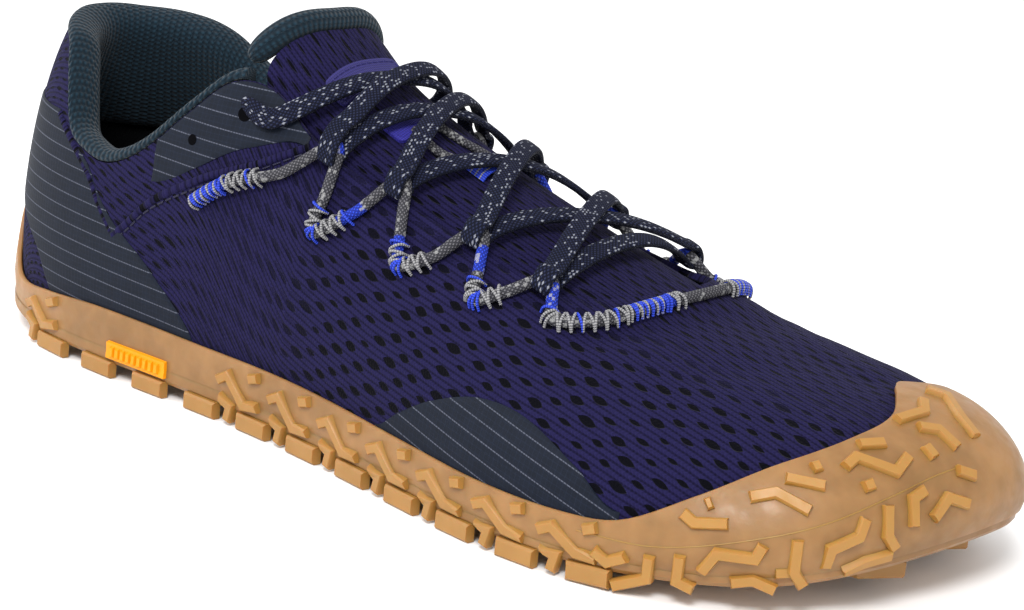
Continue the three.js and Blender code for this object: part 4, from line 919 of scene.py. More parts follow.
class SHOE_OT_outsole(bpy.types.Operator):
    """Moulds the sole: plate, side wall, toe bumper, parting line, ribs and lugs"""

    bl_idname = "shoe.outsole"
    bl_label = "Outsole"

    def shell(self, parts, count):
        rings, flats = [], []
        angles = columns(count)
        for theta in angles:
            spine, top = crest_point(share_at(theta)), rubber_top(theta)
            inside = np.linspace(0, top - 0.3, 5)
            outside = np.linspace(top - 0.25, 0, 22)
            seat = skin(theta, np.array([0.0]), -UPPER_WALL / 2)[0] - [0, 0, GAP * 1.5]
            edge = skin(theta, np.array([0.0]), GAP)[0] - [0, 0, GAP * 1.5]
            side = [on_wall(theta, np.array([-PLATE_THICKNESS * s]), -i)[0] for s,
                i in ((0.3, 0), (0.6, 0.05), (0.82, 0.7))]
            tuck = skin(theta, np.array([0.0]), GAP + WALL_FOOT - WALL_TUCK)[0] - [0, 0, PLATE_THICKNESS]
            ring = [
                [[spine[0], spine[1], footbed_z(spine[0]) - GAP * 1.5], seat, edge],
                skin(theta, inside, GAP),
                skin(theta, np.array([top, top]), np.array([GAP + 0.3, GAP + WALL_EDGE - 0.3])),
                on_wall(theta, outside, 0.0),
                [*side, tuck, [spine[0], spine[1], tread_z(spine[0]) + LUG_HEIGHT]],
            ]
            rings.append(np.concatenate([np.asarray(r, float) for r in ring]))
            flats.append(rings[-1][:, :2] / 1000)
        parts.grid(np.array(rings), np.array(flats), ring=True)

    def ribs(self, parts):
        for angle_of, facing in ((angle_at, 1), (inner_at, -1)):
            theta, end = angle_of(0.09), angle_of(0.78)
            badge = abs(step_along(angle_at(BADGE_AT), (BADGE_LENGTH + RIB_PITCH) / 2) - angle_at(BADGE_AT))
            while (end - theta) * facing > 0:
                middle = step_along(theta, RIB_PITCH / 2 * facing)
                at_badge = facing > 0 and abs(middle - angle_at(BADGE_AT)) < badge
                shown = [] if at_badge else SIDE_RIBS + [SIDE_NUB] if facing > 0 else SIDE_RIBS[:1]
                for path in shown + [EDGE_LUG]:
                    turned = [step_along(theta, along * RIB_PITCH * facing) for along, _ in path]
                    ups = [u * (rubber_top(t) if u > 0 else PLATE_THICKNESS + LUG_HEIGHT) for t,
                        (_, u) in zip(turned, path)]
                    if path is EDGE_LUG:
                        rib(parts, list(zip(turned, ups)), width=4, tint=0.5)
                    else:
                        rib(parts, list(zip(turned, ups)))
                theta = step_along(theta, RIB_PITCH * facing)
        for path in TOE_RIBS + TOE_NUBS:
            rib(parts, [(angle_at(s), u * BUMPER_HEIGHT) for s, u in path], tint=0.75)
        rib(parts, [((inner_at if far else angle_at)(s), u * BUMPER_HEIGHT) for s, u, far in TIP_RIB],
            tint=0.75)

    def lugs(self, parts):
        near, far = (-LUG_ARM - LUG_SWEEP) / 2, (LUG_ARM - LUG_SWEEP) / 2
        half = LUG_WIDTH / 2
        corners = np.array([
            (near, -half), (far, -half), (far + LUG_SWEEP, 0), (far, half), (near, half),
            (near + LUG_SWEEP, 0),
        ])
        rows = int(LAST_LENGTH / LUG_PITCH / 2)
        for row in range(-rows, rows + 1):
            x = row * LUG_PITCH
            share = x / LAST_LENGTH + 0.5
            if not 0.03 <= share <= 0.97:
                continue
            low, high = (on_section(f(share), np.array([0.0]))[0][1] for f in (angle_at, inner_at))
            across = int((high - low - 2 * LUG_MARGIN) / LUG_SPREAD)
            for i in range(across + 1):
                y = (low + high) / 2 + (i - across / 2) * LUG_SPREAD
                turn = -1 if share < 0.5 else 1
                levels = [(1.0, LUG_HEIGHT + 0.6), (1.0, 0.5), (0.94, 0.0)]
                rings = [[(x + turn * cx * k, y + turn * cy * k, tread_z(x) + z) for cx, cy in corners]
                    for k, z in levels]
                parts.grid(np.array(rings), tint=0.4, loop=True)

    def execute(self, context):
        parts = Parts()
        self.shell(parts, context.scene.shoe_sizes.columns)
        line = np.array([on_wall(angle_at(s), np.array([through(length_table(PARTING, 1), s)]), 0.0)[0]
                         for s in np.linspace(0.775, 0.992, 120)])
        parts.tube(line, np.tile([0, 0, 1.0], (len(line), 1)), 0.16, sides=6, tint=0.5)
        self.ribs(parts)
        self.lugs(parts)
        parts.made("outsole_rubber", look("gum_rubber"), replaces=["outsole"], slot="gum_rubber", merge=True,
            angle=32)
        return {"FINISHED"}


class SHOE_OT_badge(bpy.types.Operator):
    """Fits the plain ribbed bar on the sole's outer side"""

    bl_idname = "shoe.badge"
    bl_label = "Badge"

    def execute(self, context):
        parts = Parts()
        middle = angle_at(BADGE_AT)
        turns = [step_along(middle, BADGE_LENGTH * (i / 12 - 0.5)) for i in range(13)]
        ups = BADGE_RISE + BADGE_HEIGHT * np.linspace(-0.5, 0.5, 5)
        upper = np.array([on_wall(t, ups, 0.9) for t in turns])
        lower = np.array([on_wall(t, ups, 0.0) for t in turns])
        parts.slab(upper, lower)
        for i in range(9):
            t = step_along(middle, BADGE_LENGTH * ((i + 0.5) / 9 - 0.5) * 0.86)
            span = BADGE_HEIGHT * 0.38
            rib(parts, [(t, BADGE_RISE - span), (t, BADGE_RISE + span)], width=1.3, height=1.5)
        parts.made("side_badge_bar", look("yellow_rubber"), replaces=["side_badge"], slot="badge_rubber")
        return {"FINISHED"}


class SHOE_OT_insole(bpy.types.Operator):
    """Lays the sockliner on the plate"""

    bl_idname = "shoe.insole"
    bl_label = "Insole"

    def execute(self, context):
        parts = Parts()
        rings = []
        for theta in columns(160):
            spine = crest_point(share_at(theta))
            edge = skin(theta, np.array([0.0]), -UPPER_WALL - GAP)[0]
            low, high = GAP, GAP + INSOLE_THICKNESS
            centre = np.array([spine[0], spine[1], footbed_z(spine[0])])
            inset = centre + (edge - centre) * 0.985
            rings.append([
                centre + [0, 0, high], inset + [0, 0, high], edge + [0, 0, high - 0.7], edge + [0, 0, low],
                centre + [0, 0, low],
            ])
        rings = np.array(rings)
        parts.grid(rings, rings[..., :2] / 1000, ring=True)
        parts.made("sockliner", look("sockliner_cloth"), replaces=["insole"], slot="insole_foam", merge=True)
        return {"FINISHED"}


# out, up from the top edge: the padded lining's outline, from its foot at the upper round over the edge
LINING = [
    (-2.4, -30), (-2.4, -15), (-2.4, -1.5), (-2.3, 0.5), (-0.6, 0.45), (0.35, 0.5), (0.75, 1.5), (0.2, 2.9),
    (-1.6, 3.7),
    (-4.4, 3.7), (-7.4, 2.1), (-9.1, -1.8), (-9.5, -8), (-9.2, -15), (-7.6, -23), (-5.0, -29.5),
]


class SHOE_OT_lining(bpy.types.Operator):
    """Pads the collar with its rolled lining"""

    bl_idname = "shoe.lining"
    bl_label = "Collar lining"

    def execute(self, context):
        limit = angle_at(0.325)
        outline = catmull(LINING, 72, closed=True)
        run = lengths_of(np.vstack([outline, outline[:1]]))[:-1]
        rings, flats = [], []
        before, length = None, 0.0
        for theta in np.linspace(-limit, limit, 220):
            thin = min(1.0, (limit - abs(theta)) / 0.25 + 0.45)
            outs = np.where(outline[:, 0] < -2.4, -2.4 + (outline[:, 0] + 2.4) * thin, outline[:, 0])
            ring = skin(theta, top_of(theta % TAU) + outline[:, 1], outs)
            if before is not None:
                length += np.linalg.norm(ring[40] - before[40])
            before = ring
            rings.append(ring)
            flats.append(np.stack([run, np.full(len(run), length)], axis=1) / 1000)
        parts = Parts()
        parts.grid(np.array(rings), np.array(flats), loop=True)
        made = parts.made("collar_pad", look("teal_knit"), replaces=["collar_lining"], slot="lining_knit")
        return {"FINISHED"}


def tongue_back(side):
    """The tongue's rear edge under its rim, as a share of length."""
    return 0.339 - 0.0246 * (side / TONGUE_RIM_REACH) ** 2


class SHOE_OT_tongue(bpy.types.Operator):
    """Sets the tongue, its padded rim and blank labels"""

    bl_idname = "shoe.tongue"
    bl_label = "Tongue"

    def patch(self, name, kind, node, slot, share_low, share_high, low, high):
        parts = Parts()
        sides = np.linspace(low, high, 25) * TONGUE_HALF_WIDTH
        shares = np.linspace(share_low, share_high, 13)
        seat, corner = TONGUE_OUT + 0.35, 1.6
        upper, lower, flats = [], [], []
        middle = [(sides[0] + sides[-1]) / 2, (share_low + share_high) / 2 * LAST_LENGTH]
        half = [(sides[-1] - sides[0]) / 2, (share_high - share_low) / 2 * LAST_LENGTH]
        for side in sides:
            row = []
            for share in shares:
                d = [side - middle[0], share * LAST_LENGTH - middle[1]]
                over = [max(abs(d[k]) - half[k] + corner, 0) for k in (0, 1)]
                far = math.hypot(*over)
                pull = corner / far if far > corner else 1.0
                d = [math.copysign(abs(d[k]) - over[k] + over[k] * pull, d[k]) for k in (0, 1)]
                row.append((d[0] + middle[0], (d[1] + middle[1]) / LAST_LENGTH))
            upper.append([over_crest(s, y, seat + LABEL_THICKNESS) for y, s in row])
            lower.append([over_crest(s, y, seat) for y, s in row])
            flats.append([(y / 1000, s * LAST_LENGTH / 1000) for y, s in row])
        parts.slab(np.array(upper), np.array(lower), np.array(flats))
        sewn_low, sewn_high = low * TONGUE_HALF_WIDTH + PATCH_MARGIN, high * TONGUE_HALF_WIDTH - PATCH_MARGIN
        sewn_back, sewn_front = share_low + PATCH_MARGIN_SHARE, share_high - PATCH_MARGIN_SHARE
        edge = [(sewn_low, sewn_back), (sewn_high, sewn_back), (sewn_high, sewn_front),
            (sewn_low, sewn_front)]
        for (y0, s0), (y1, s1) in zip(edge, edge[1:] + edge[:1]):
            count = max(int(math.hypot(y1 - y0, (s1 - s0) * LAST_LENGTH) / 2), 1)
            for i in range(count):
                t = np.linspace((i + 0.12) / count, (i + 0.78) / count, 4)
                line = np.array([over_crest(s0 + (s1 - s0) * k, y0 + (y1 - y0) * k,
                    seat + LABEL_THICKNESS + 0.02) for k in t])
                parts.tube(line, np.tile([0, 0, 1.0], (4, 1)), 0.2, sides=6)
        parts.made(name, look(kind), replaces=[node], slot=slot)

    def execute(self, context):
        parts = Parts()
        upper, lower, flats, tint = [], [], [], []
        for side in np.linspace(-TONGUE_HALF_WIDTH, TONGUE_HALF_WIDTH, 49):
            near = min(max(side, -TONGUE_RIM_REACH), TONGUE_RIM_REACH)
            back = tongue_back(near) + 0.0115 + 0.03 * (side / TONGUE_HALF_WIDTH) ** 8
            shares = back + (0.735 - back) * np.linspace(0, 1, 100)
            puff = 0.35 * np.sin(np.pi * np.clip((shares - 0.35) / 0.36, 0,
                1)) * math.cos(side / TONGUE_HALF_WIDTH * 1.4)
            upper.append([over_crest(s, side, TONGUE_OUT + p) for s, p in zip(shares, puff)])
            lower.append([over_crest(s, side, TONGUE_OUT - TONGUE_THICKNESS) for s in shares])
            flats.append([(s * LAST_LENGTH / 1000, side / 1000) for s in shares])
        parts.slab(np.array(upper), np.array(lower), np.array(flats))
        parts.made("tongue_mesh", look("nylon_mesh"), replaces=["tongue"], slot="tongue_mesh")
        parts = Parts()
        sides = np.linspace(-TONGUE_RIM_REACH, TONGUE_RIM_REACH, 81)
        line = np.array([over_crest(tongue_back(y), y, TONGUE_OUT - TONGUE_THICKNESS / 2) for y in sides])
        swell = np.sqrt(np.clip(1 - (np.abs(sides) / (TONGUE_RIM_REACH + 0.3)) ** 10, 0.02, 1))
        parts.tube(line, np.tile([0, 0, 1.0], (len(line), 1)), TONGUE_RIM_RADIUS, sides=28)
        ring = parts.points[0].reshape(len(line), 28, 3)
        parts.points[0] = (line[:, None] + (ring - line[:, None]) * swell[:, None, None]).reshape(-1, 3)
        made = parts.made("tongue_rim_pad", look("teal_knit"), replaces=["tongue_rim"], slot="lining_knit")
        self.patch("tongue_patch", "label_weave", "tongue_label", "label_weave", 0.382, 0.407, -0.55, 0.22)
        self.patch("keeper_patch", "keeper_weave", "keeper_label", "keeper_weave", 0.437, 0.466, -0.46, -0.02)
        return {"FINISHED"}


# height (0 foot, 1 head), share of length: front edge of the heel film, and its window at the back
COUNTER = [(0, 0.318), (0.3, 0.258), (0.5, 0.203), (0.62, 0.18), (0.77, 0.157), (1, 0.098)]
WINDOW = [(0, 0.118), (0.12, 0.106), (0.26, 0.088), (0.4, 0.05), (0.5, 0.012), (0.55, 0), (1, 0)]
COUNTER_HEAD = 0.5


# at, girth: the lower edge of the eyestay films
EYESTAY_EDGE = [(0.246, 0.39), (0.297, 0.445), (0.35, 0.555), (0.4, 0.645)]
# at, up: the forefoot film's upper edge as shares of BALL_WIDTH
FOREFOOT_EDGE = [
    (0.552, 0.085), (0.579, 0.135), (0.61, 0.187), (0.657, 0.235), (0.703, 0.231), (0.76, 0.165),
    (0.803, 0.095),
]
# name, at, girth, radius in metres: holes on both sides, each a near-black disk of painted shade
HOLES = (("punched_hole", 0.289, 0.5, 0.0013), ("top_eyelet_hole", *TOP_EYELET, 0.0018))
FILM_RIM = 0.16  # how far a film's edge stands off, where its middle has FILM_THICKNESS
FILM_SEAT = 0.03
HOLE_DEPTH = 0.0004


class SHOE_OT_films(bpy.types.Operator):
    """Welds the thin films onto heel, eyestays and outer forefoot"""

    bl_idname = "shoe.films"
    bl_label = "Film overlays"

    def film(self, name, node, grids, level=False):
        """Films over grids of (angle, up) pairs with thin edges; level ones have lines at even heights."""
        parts = Parts()
        for grid in grids:
            rows, wide = len(grid), len(grid[0])
            upper, lower, flats = [], [], []
            for j, row in enumerate(grid):
                tops, lows, place = [], [], []
                for i, (theta, up) in enumerate(row):
                    rim = min(j, i, rows - 1 - j, wide - 1 - i) == 0
                    ups = np.array([float(up)])
                    tops.append(skin(theta, ups, FILM_RIM if rim else FILM_THICKNESS)[0])
                    lows.append(skin(theta, ups, FILM_SEAT)[0])
                    place.append(lows[-1][[0, 2]] / 1000 if level else flat_at(theta, ups)[0])
                upper.append(tops)
                lower.append(lows)
                flats.append(place)
            parts.slab(np.array(upper), np.array(lower), np.array(flats))
        parts.made(name, look("welded_film"), replaces=[node], slot="film")

    def execute(self, context):
        foot = lambda t: rubber_top(t) - 1.5
        head = lambda t: top_of(t % TAU) - GAP
        reach = length_table(COUNTER, 1)
        window = length_table(WINDOW, 1)
        halves = []
        for side in (-1, 1):
            grid = []
            for h in np.linspace(0, 1, 44):
                ends = [angle_at(max(through(table, h), 0)) * side for table in (window, reach)]
                grid.append([(t, foot(t) + (COUNTER_HEAD * girth_at(t) - foot(t)) * h)
                    for t in np.linspace(*ends, 80)])
            halves.append(grid if side > 0 else [row[::-1] for row in grid])
        self.film("heel_film", "heel_counter", halves, level=True)
        edge = length_table(EYESTAY_EDGE, 1)
        for angle_of, name in ((angle_at, "eyestay_outer"), (inner_at, "eyestay_inner")):
            grid = []
            for s in np.linspace(EYESTAY_EDGE[0][0], EYESTAY_EDGE[-1][0], 60):
                t = angle_of(s)
                low = through(edge, s) * girth_at(t)
                grid.append([(t, low + (head(t) - low) * k) for k in np.linspace(0, 1, 24)])
            self.film(f"{name}_film", name, [grid], level=True)
        top = length_table(FOREFOOT_EDGE, 1)
        grid = []
        for s in np.linspace(FOREFOOT_EDGE[0][0], FOREFOOT_EDGE[-1][0], 90):
            t = angle_at(s)
            high = through(top, s) * BALL_WIDTH
            grid.append([(t, foot(t) + (high - foot(t)) * k) for k in np.linspace(0, 1, 24)])
        self.film("forefoot_film", "forefoot_overlay", [grid])
        for name, share, girth, radius in HOLES:
            for angle_of, side in ((angle_at, "outer"), (inner_at, "inner")):
                theta = angle_of(share)
                ups = np.array([girth * girth_at(theta)])
                bpy.ops.object.select_all(action="DESELECT")
                place = Vector((skin(theta, ups, FILM_THICKNESS - 0.1)[0] + TO_FRAME) / 1000)
                turn = Vector(normals_at(theta, ups)[0]).to_track_quat("Z", "Y").to_euler()
                bpy.ops.mesh.primitive_cylinder_add(vertices=32, radius=radius, depth=HOLE_DEPTH,
                    location=place, rotation=turn)
                bpy.ops.object.transform_apply(location=True, rotation=True, scale=True)
                made = context.object
                made.name = f"{name}_{side}"
                placed(made, look("punched_hole"))
        return {"FINISHED"}


def lifted(row):
    """How far the eyelet cord stands off the upper at one of its rows: it rises at the lace's turns."""
    return max(0.0, 1 - min(abs(row - k) for k in (3.5, 9.5, 15.5, 21.5)) / 1.6) * 1.7


def cord_line(angle_of, rows):
    """Points and surface normals of the eyelet cord at fractional rows of its table."""
    table = np.array(EYELET_CORD)
    ats = catmull(table, 2000)
    index = np.clip(np.asarray(rows) / (len(table) - 1) * 1999, 0, 1999)
    found, normals = [], []
    for row, k in zip(rows, index):
        share, girth = [np.interp(k, np.arange(2000), ats[:, c]) for c in (0, 1)]
        theta = angle_of(share)
        ups = np.array([girth * girth_at(theta)])
        found.append(skin(theta, ups, CORD_DIAMETER / 2 + 0.05 + lifted(row))[0])
        normals.append(normals_at(theta, ups)[0])
    return np.array(found), np.array(normals)


class SHOE_OT_cords(bpy.types.Operator):
    """Lays the eyelet cord with its couching stitches and the keeper's cord"""

    bl_idname = "shoe.cords"
    bl_label = "Loop cords"

    def couching(self, parts, angle_of, pitch):
        for first, last, blue in COUCHED:
            rows = np.linspace(first, last, 60)
            line, normals = cord_line(angle_of, rows)
            run = lengths_of(line)
            near = 0.66 if blue else pitch
            count = max(int(run[-1] / near), 3)
            wide = CORD_DIAMETER / 2 + (0.55 if blue else 0.9)
            for i in range(count):
                t = (i + 0.5) / count * run[-1]
                slant = (0.28 if i % 2 else -0.28) * near
                at = lambda d: np.array([np.interp(t + d, run, line[:, c]) for c in range(3)])
                middle = at(0)
                along = at(0.4) - at(-0.4)
                along /= np.linalg.norm(along)
                normal = normals[min(int((t / run[-1]) * 59), 59)]
                side = np.cross(along, normal)
                arc = []
                for a in np.linspace(-1, 1, 11):
                    high = math.sqrt(max(1 - abs(a) ** 2.6,
                        0)) * (CORD_DIAMETER / 2 + 0.3) - 0.9 * abs(a) ** 3
                    arc.append(middle + side * a * wide + normal * high + along * a * slant * 2)
                mixed = float(i % 3 != 0) if blue else float(i % 7 == 0)
                parts.tube(np.array(arc), np.tile(normal, (11, 1)), THREAD, sides=6, tint=mixed)

    def execute(self, context):
        pitch = context.scene.shoe_sizes.couching_pitch * 1000
        parts, threads = Parts(), Parts()
        rows = np.linspace(0, len(EYELET_CORD) - 1, 420)
        outer, up_outer = cord_line(angle_at, rows)
        inner, up_inner = cord_line(inner_at, rows)
        front = angle_at(0.731)
        top = skin(front, np.array([girth_at(front)]), CORD_DIAMETER / 2 + 0.05)
        up_top = normals_at(front, np.array([girth_at(front)]))
        line = np.concatenate([outer, top, inner[::-1]])
        ups = np.concatenate([up_outer, up_top, up_inner[::-1]])
        smooth = catmull(line[::3], 1300)
        ups = catmull(ups[::3], 1300)
        run = lengths_of(smooth)
        blue = (np.sin(run / 5.2) > 0.8).astype(float)
        parts.tube(smooth, ups, CORD_DIAMETER / 2, sides=12, tint=blue)
        parts.made("eyelet_loop_cord", look("cord_braid"), replaces=["eyelet_cord"], slot="cord")
        for angle_of in (angle_at, inner_at):
            self.couching(threads, angle_of, pitch)
        keeper = [(0.462, -0.3), (0.472, -0.3), (0.495, -0.32), (0.522, -0.2), (0.53, -0.05), (0.515, 0),
            (0.49, -0.06), (0.462, -0.1)]
        out = TONGUE_OUT + 0.3 + KEEPER_CORD_DIAMETER / 2
        path = np.array([over_crest(s, y * TONGUE_HALF_WIDTH, out) for s, y in keeper])
        line = catmull(path, 160)
        parts = Parts()
        parts.tube(line, np.tile([0, 0, 1.0], (160, 1)), KEEPER_CORD_DIAMETER / 2, sides=12)
        parts.made("keeper_loop_cord", look("cord_braid"), replaces=["keeper_cord"], slot="cord")
        for i in range(16):
            share = 0.518 + 0.018 * i / 15
            arc = np.array([over_crest(share, y,
                TONGUE_OUT + 0.4 + 2.1 * math.sqrt(max(1 - ((y + 4) / 5.2) ** 2, 0)))
                            for y in np.linspace(-9.2, 1.2, 13)])
            threads.tube(arc, np.tile([0, 0, 1.0], (13, 1)), THREAD, sides=6, tint=float(i % 4 != 0))
        threads.made("couching_thread", look("polyester_thread"), slot="cord")
        return {"FINISHED"}


class SHOE_OT_lace(bpy.types.Operator):
    """Runs the flat lace from one top eyelet through every loop to the other"""

    bl_idname = "shoe.lace"
    bl_label = "Lace"

    def knot(self, k, side):
        """Share and signed girth of the cord loop that the lace turns in."""
        at, girth = TURNS[k]
        theta = crest_angle(at, side)
        return at, side * girth_at(theta) * (1 - girth)

    def turn(self, k, side, arrive, leave, over):
        """The lace's way round one loop's cord: in below it and out above it, or the other way."""
        at, tip = self.knot(k, side)
        low, apex, high = 0.95, 3.1, 5.3
        first, last = (low, high) if over else (high, low)
        return [
            (at + arrive * 0.0045, tip - side * 4.5, first + (0.2 if over else -1.3)),
            (at + arrive * 0.001, tip, first),
            (at, tip + side * 3.0, apex),
            (at + leave * 0.001, tip, last),
            (at + leave * 0.0045, tip - side * 4.5, last - (1.3 if over else -0.2)),
        ]

    def execute(self, context):
        under, over = 1.4, 3.5
        eye_share, eye_girth = TOP_EYELET
        near_eye, far_eye = (s * girth_at(crest_angle(eye_share, s)) * (1 - eye_girth) for s in (-1, 1))
        mid = lambda a, b, out, shift=0.0: [((a + b) / 2, shift, out)]
        at = [t[0] for t in TURNS]
        way = [
            (eye_share, near_eye + 0.6, -0.6), (eye_share + 0.003, near_eye + 2.2, 1.3),
            (0.366, near_eye + 6, 2.0),
            (0.393, -22, under), (0.411, -8, under), (0.421, 7, under), (0.427, 20, under),
            *self.turn(0, 1, -1, 1, True), *mid(at[0], at[1], over),
            *self.turn(1, -1, -1, 1, False), *mid(at[1], at[2], under),
            *self.turn(2, 1, -1, 1, True), *mid(at[2], at[3], over),
            *self.turn(3, -1, -1, 0, False), (at[3], 0, under),
            *self.turn(3, 1, 0, -1, True), *mid(at[2], at[3], under),
            *self.turn(2, -1, 1, -1, True), *mid(at[1], at[2], over),
            *self.turn(1, 1, 1, -1, False), *mid(at[0], at[1], under),
            *self.turn(0, -1, 1, -1, True),
            (0.427, -20, over), (0.421, -7, over), (0.411, 8, over), (0.393, 22, over),
            (0.366, far_eye - 6, 2.0),
            (eye_share + 0.003, far_eye - 2.2, 1.3), (eye_share, far_eye - 0.6, -0.6),
        ]
        way = np.array(way)
        fine = catmull(way, 1400)
        points = np.array([over_crest(s, y, o) for s, y, o in fine])
        for _ in range(6):
            points[1:-1] = (points[:-2] + 2 * points[1:-1] + points[2:]) / 4
        line = evened(points, 1500)
        along = np.gradient(line, axis=0)
        along /= np.linalg.norm(along, axis=1, keepdims=True)
        shares = line[:, 0] / LAST_LENGTH + 0.5
        slope = np.array([(through(RIDGE, s + 0.012) - through(RIDGE, s - 0.012)) * INSTEP_HEIGHT
            for s in shares])
        forward = np.stack([np.full(len(line), 0.024 * LAST_LENGTH), np.zeros(len(line)), slope], axis=1)
        forward /= np.linalg.norm(forward, axis=1, keepdims=True)
        across = forward - along * (forward * along).sum(1)[:, None]
        across /= np.linalg.norm(across, axis=1, keepdims=True)
        for _ in range(30):
            across[1:-1] = (across[:-2] + 2 * across[1:-1] + across[2:]) / 4
        across /= np.linalg.norm(across, axis=1, keepdims=True)
        rise = np.cross(across, along)
        turn = TAU * np.arange(16) / 16
        wide = np.sign(np.cos(turn)) * np.abs(np.cos(turn)) ** 0.6 * LACE_WIDTH / 2
        high = np.sign(np.sin(turn)) * np.abs(np.sin(turn)) ** 0.75 * LACE_THICKNESS / 2
        rings = line[:, None] + across[:, None] * wide[None, :, None] + rise[:, None] * high[None, :, None]
        run = lengths_of(line)
        flats = np.stack(np.broadcast_arrays(run[:, None], wide[None, :] + np.sign(high) * 40),
            axis=-1) / 1000
        parts = Parts()
        parts.grid(rings, flats, loop=True)
        parts.made("flat_lace", look("lace_braid"), replaces=["lace"], slot="lace_braid", angle=60)
        return {"FINISHED"}


# at, girth share: sewn edges of the outer side, then which sides they are on
SEAMS = [
    ([(0.205, 0.255), (0.222, 0.29), (0.25, 0.35), (0.3, 0.42), (0.355, 0.52), (0.402, 0.65)], (0, 1)),
    ([(0.098, 0.49), (0.157, 0.385), (0.18, 0.32), (0.203, 0.262)], (0, 1)),
]


class SHOE_OT_stitches(bpy.types.Operator):
    """Sews the quarter seams"""

    bl_idname = "shoe.stitches"
    bl_label = "Seams"

    def seam(self, parts, points, angle_of, pitch, out, radius):
        ats = catmull(np.array(points), 300)
        line = np.array([skin(angle_of(s), np.array([g * girth_at(angle_of(s))]), out)[0] for s, g in ats])
        run = lengths_of(line)
        for i in range(int(run[-1] / pitch)):
            t = (i + np.linspace(0.1, 0.82, 5)) * pitch
            stitch = np.stack([np.interp(t, run, line[:, c]) for c in range(3)], axis=1)
            parts.tube(stitch, np.tile([0, 0, 1.0], (5, 1)), radius, sides=6, tint=2.0)

    def ridge(self, parts, points, angle_of):
        """The folded cloth edge that a seam holds down."""
        ats = catmull(np.array(points), 160)
        found, normals = [], []
        for s, g in ats:
            theta = angle_of(s)
            ups = np.array([g * girth_at(theta)])
            found.append(skin(theta, ups, 0.05)[0])
            normals.append(normals_at(theta, ups)[0])
        flats = np.array([flat_at(angle_of(s), np.array([g * girth_at(angle_of(s))]))[0] for s, g in ats])
        before = len(parts.points)
        parts.tube(np.array(found), np.array(normals), 1.0, sides=10, flat=0.5)
        parts.flats[before] = np.repeat(flats, 10, axis=0)

    def execute(self, context):
        pitch = context.scene.shoe_sizes.stitch_pitch * 1000
        threads, folds = Parts(), Parts()
        for points, sides in SEAMS:
            for side in sides:
                angle_of = inner_at if side else angle_at
                self.ridge(folds, points, angle_of)
                self.seam(threads, [(s, g - 0.017) for s, g in points], angle_of, pitch, 0.1, 0.26)
        threads.made("seam_thread", look("polyester_thread"), slot="mesh")
        folds.made("seam_fold", look("nylon_mesh"), slot="mesh")
        return {"FINISHED"}


# the photograph's camera: azimuth, elevation and roll in degrees, the place it looks at and its distance
CAMERA_TURN = (37.0, 14.78, 5.81)
CAMERA_TARGET = (11.1, 4.6, 33.8)
CAMERA_METRES = 0.5675
CAMERA_SENSOR, CAMERA_LENS = 36, 85.77


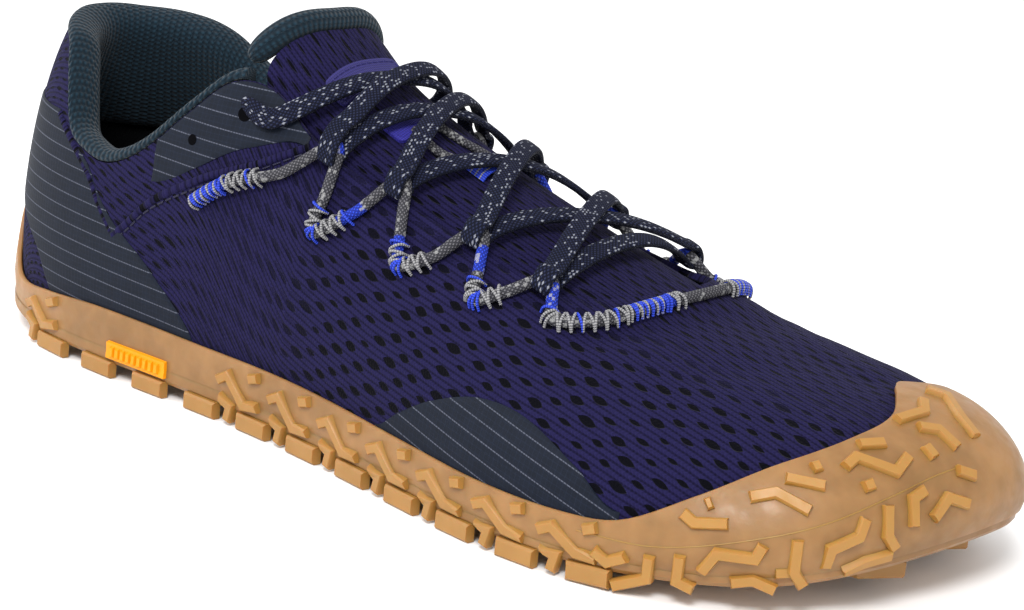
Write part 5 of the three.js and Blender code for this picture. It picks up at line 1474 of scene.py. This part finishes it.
class SHOE_OT_stage(bpy.types.Operator):
    """Sets floor, lights and the camera of the photograph"""

    bl_idname = "shoe.stage"
    bl_label = "Stage"

    def lamp(self, name, place, target, size, power):
        data = bpy.data.lights.new(name, "AREA")
        data.shape, data.size, data.energy = "DISK", size, power
        made = bpy.data.objects.new(name, data)
        bpy.context.scene.collection.objects.link(made)
        made.location = place
        made.rotation_euler = (Vector(target) - Vector(place)).to_track_quat("-Z", "Y").to_euler()

    def execute(self, context):
        scene = context.scene
        bpy.ops.object.select_all(action="DESELECT")
        bpy.ops.mesh.primitive_plane_add(size=12, location=(0, 0, 0))
        floor = context.object
        floor.name = "floor"
        bpy.ops.object.transform_apply(location=True, rotation=True, scale=True)
        floor.data.materials.append(look("painted_board"))
        world = bpy.data.worlds.new("white_studio")
        world.use_nodes = True
        shade = world.node_tree.nodes["Background"]
        shade.inputs[0].default_value = (1.0, 1.0, 1.0, 1.0)
        shade.inputs[1].default_value = 1.05
        scene.world = world
        scene.view_settings.view_transform = "Standard"
        key = scene.shoe_sizes.key_power
        self.lamp("key", (0.5, -0.9, 1.1), (0, 0, 0.04), 0.5, key)
        self.lamp("fill", (-0.9, -0.7, 0.7), (0, 0, 0.04), 0.8, key * 0.4)
        azimuth, elevation, roll = (math.radians(d) for d in CAMERA_TURN)
        level = math.cos(elevation)
        sight = -Vector((math.sin(azimuth) * level, -math.cos(azimuth) * level, math.sin(elevation)))
        right = sight.cross(Vector((0, 0, 1))).normalized()
        up = right.cross(sight)
        rolled = math.cos(roll) * right + math.sin(roll) * up
        upward = -math.sin(roll) * right + math.cos(roll) * up
        data = bpy.data.cameras.new("camera")
        data.sensor_width, data.lens = CAMERA_SENSOR, CAMERA_LENS
        data.clip_start, data.clip_end = 0.01, 50
        camera = bpy.data.objects.new("camera", data)
        scene.collection.objects.link(camera)
        turn = Matrix((rolled, upward, -sight)).transposed().to_4x4()
        place = Vector((np.array(CAMERA_TARGET) + TO_FRAME) / 1000) - sight * CAMERA_METRES
        camera.matrix_world = Matrix.Translation(place) @ turn
        scene.camera = camera
        return {"FINISHED"}


class SHOE_PT_panel(bpy.types.Panel):
    """Buttons for each piece"""

    bl_idname = "SHOE_PT_panel"
    bl_label = "Barefoot Shoe"
    bl_space_type = "VIEW_3D"
    bl_region_type = "UI"
    bl_category = "Shoe"

    def draw(self, context):
        sizes = context.scene.shoe_sizes
        for name in sizes.__annotations__:
            self.layout.prop(sizes, name)
        for kind in OPERATORS:
            self.layout.operator(kind.bl_idname)


OPERATORS = (
    SHOE_OT_stage, SHOE_OT_upper, SHOE_OT_outsole, SHOE_OT_badge, SHOE_OT_insole, SHOE_OT_lining,
    SHOE_OT_tongue,
    SHOE_OT_films, SHOE_OT_cords, SHOE_OT_lace, SHOE_OT_stitches,
)
CLASSES = (SHOE_PG_sizes, *OPERATORS, SHOE_PT_panel)


def register():
    for kind in CLASSES:
        bpy.utils.register_class(kind)
    bpy.types.Scene.shoe_sizes = bpy.props.PointerProperty(type=SHOE_PG_sizes)


def unregister():
    del bpy.types.Scene.shoe_sizes
    for kind in reversed(CLASSES):
        bpy.utils.unregister_class(kind)


def main():
    register()
    bpy.ops.shoe.stage()
    bpy.ops.shoe.upper()
    bpy.ops.shoe.outsole()
    bpy.ops.shoe.badge()
    bpy.ops.shoe.insole()
    bpy.ops.shoe.lining()
    bpy.ops.shoe.tongue()
    bpy.ops.shoe.films()
    bpy.ops.shoe.cords()
    bpy.ops.shoe.lace()
    bpy.ops.shoe.stitches()


if __name__ == "__main__":
    main()
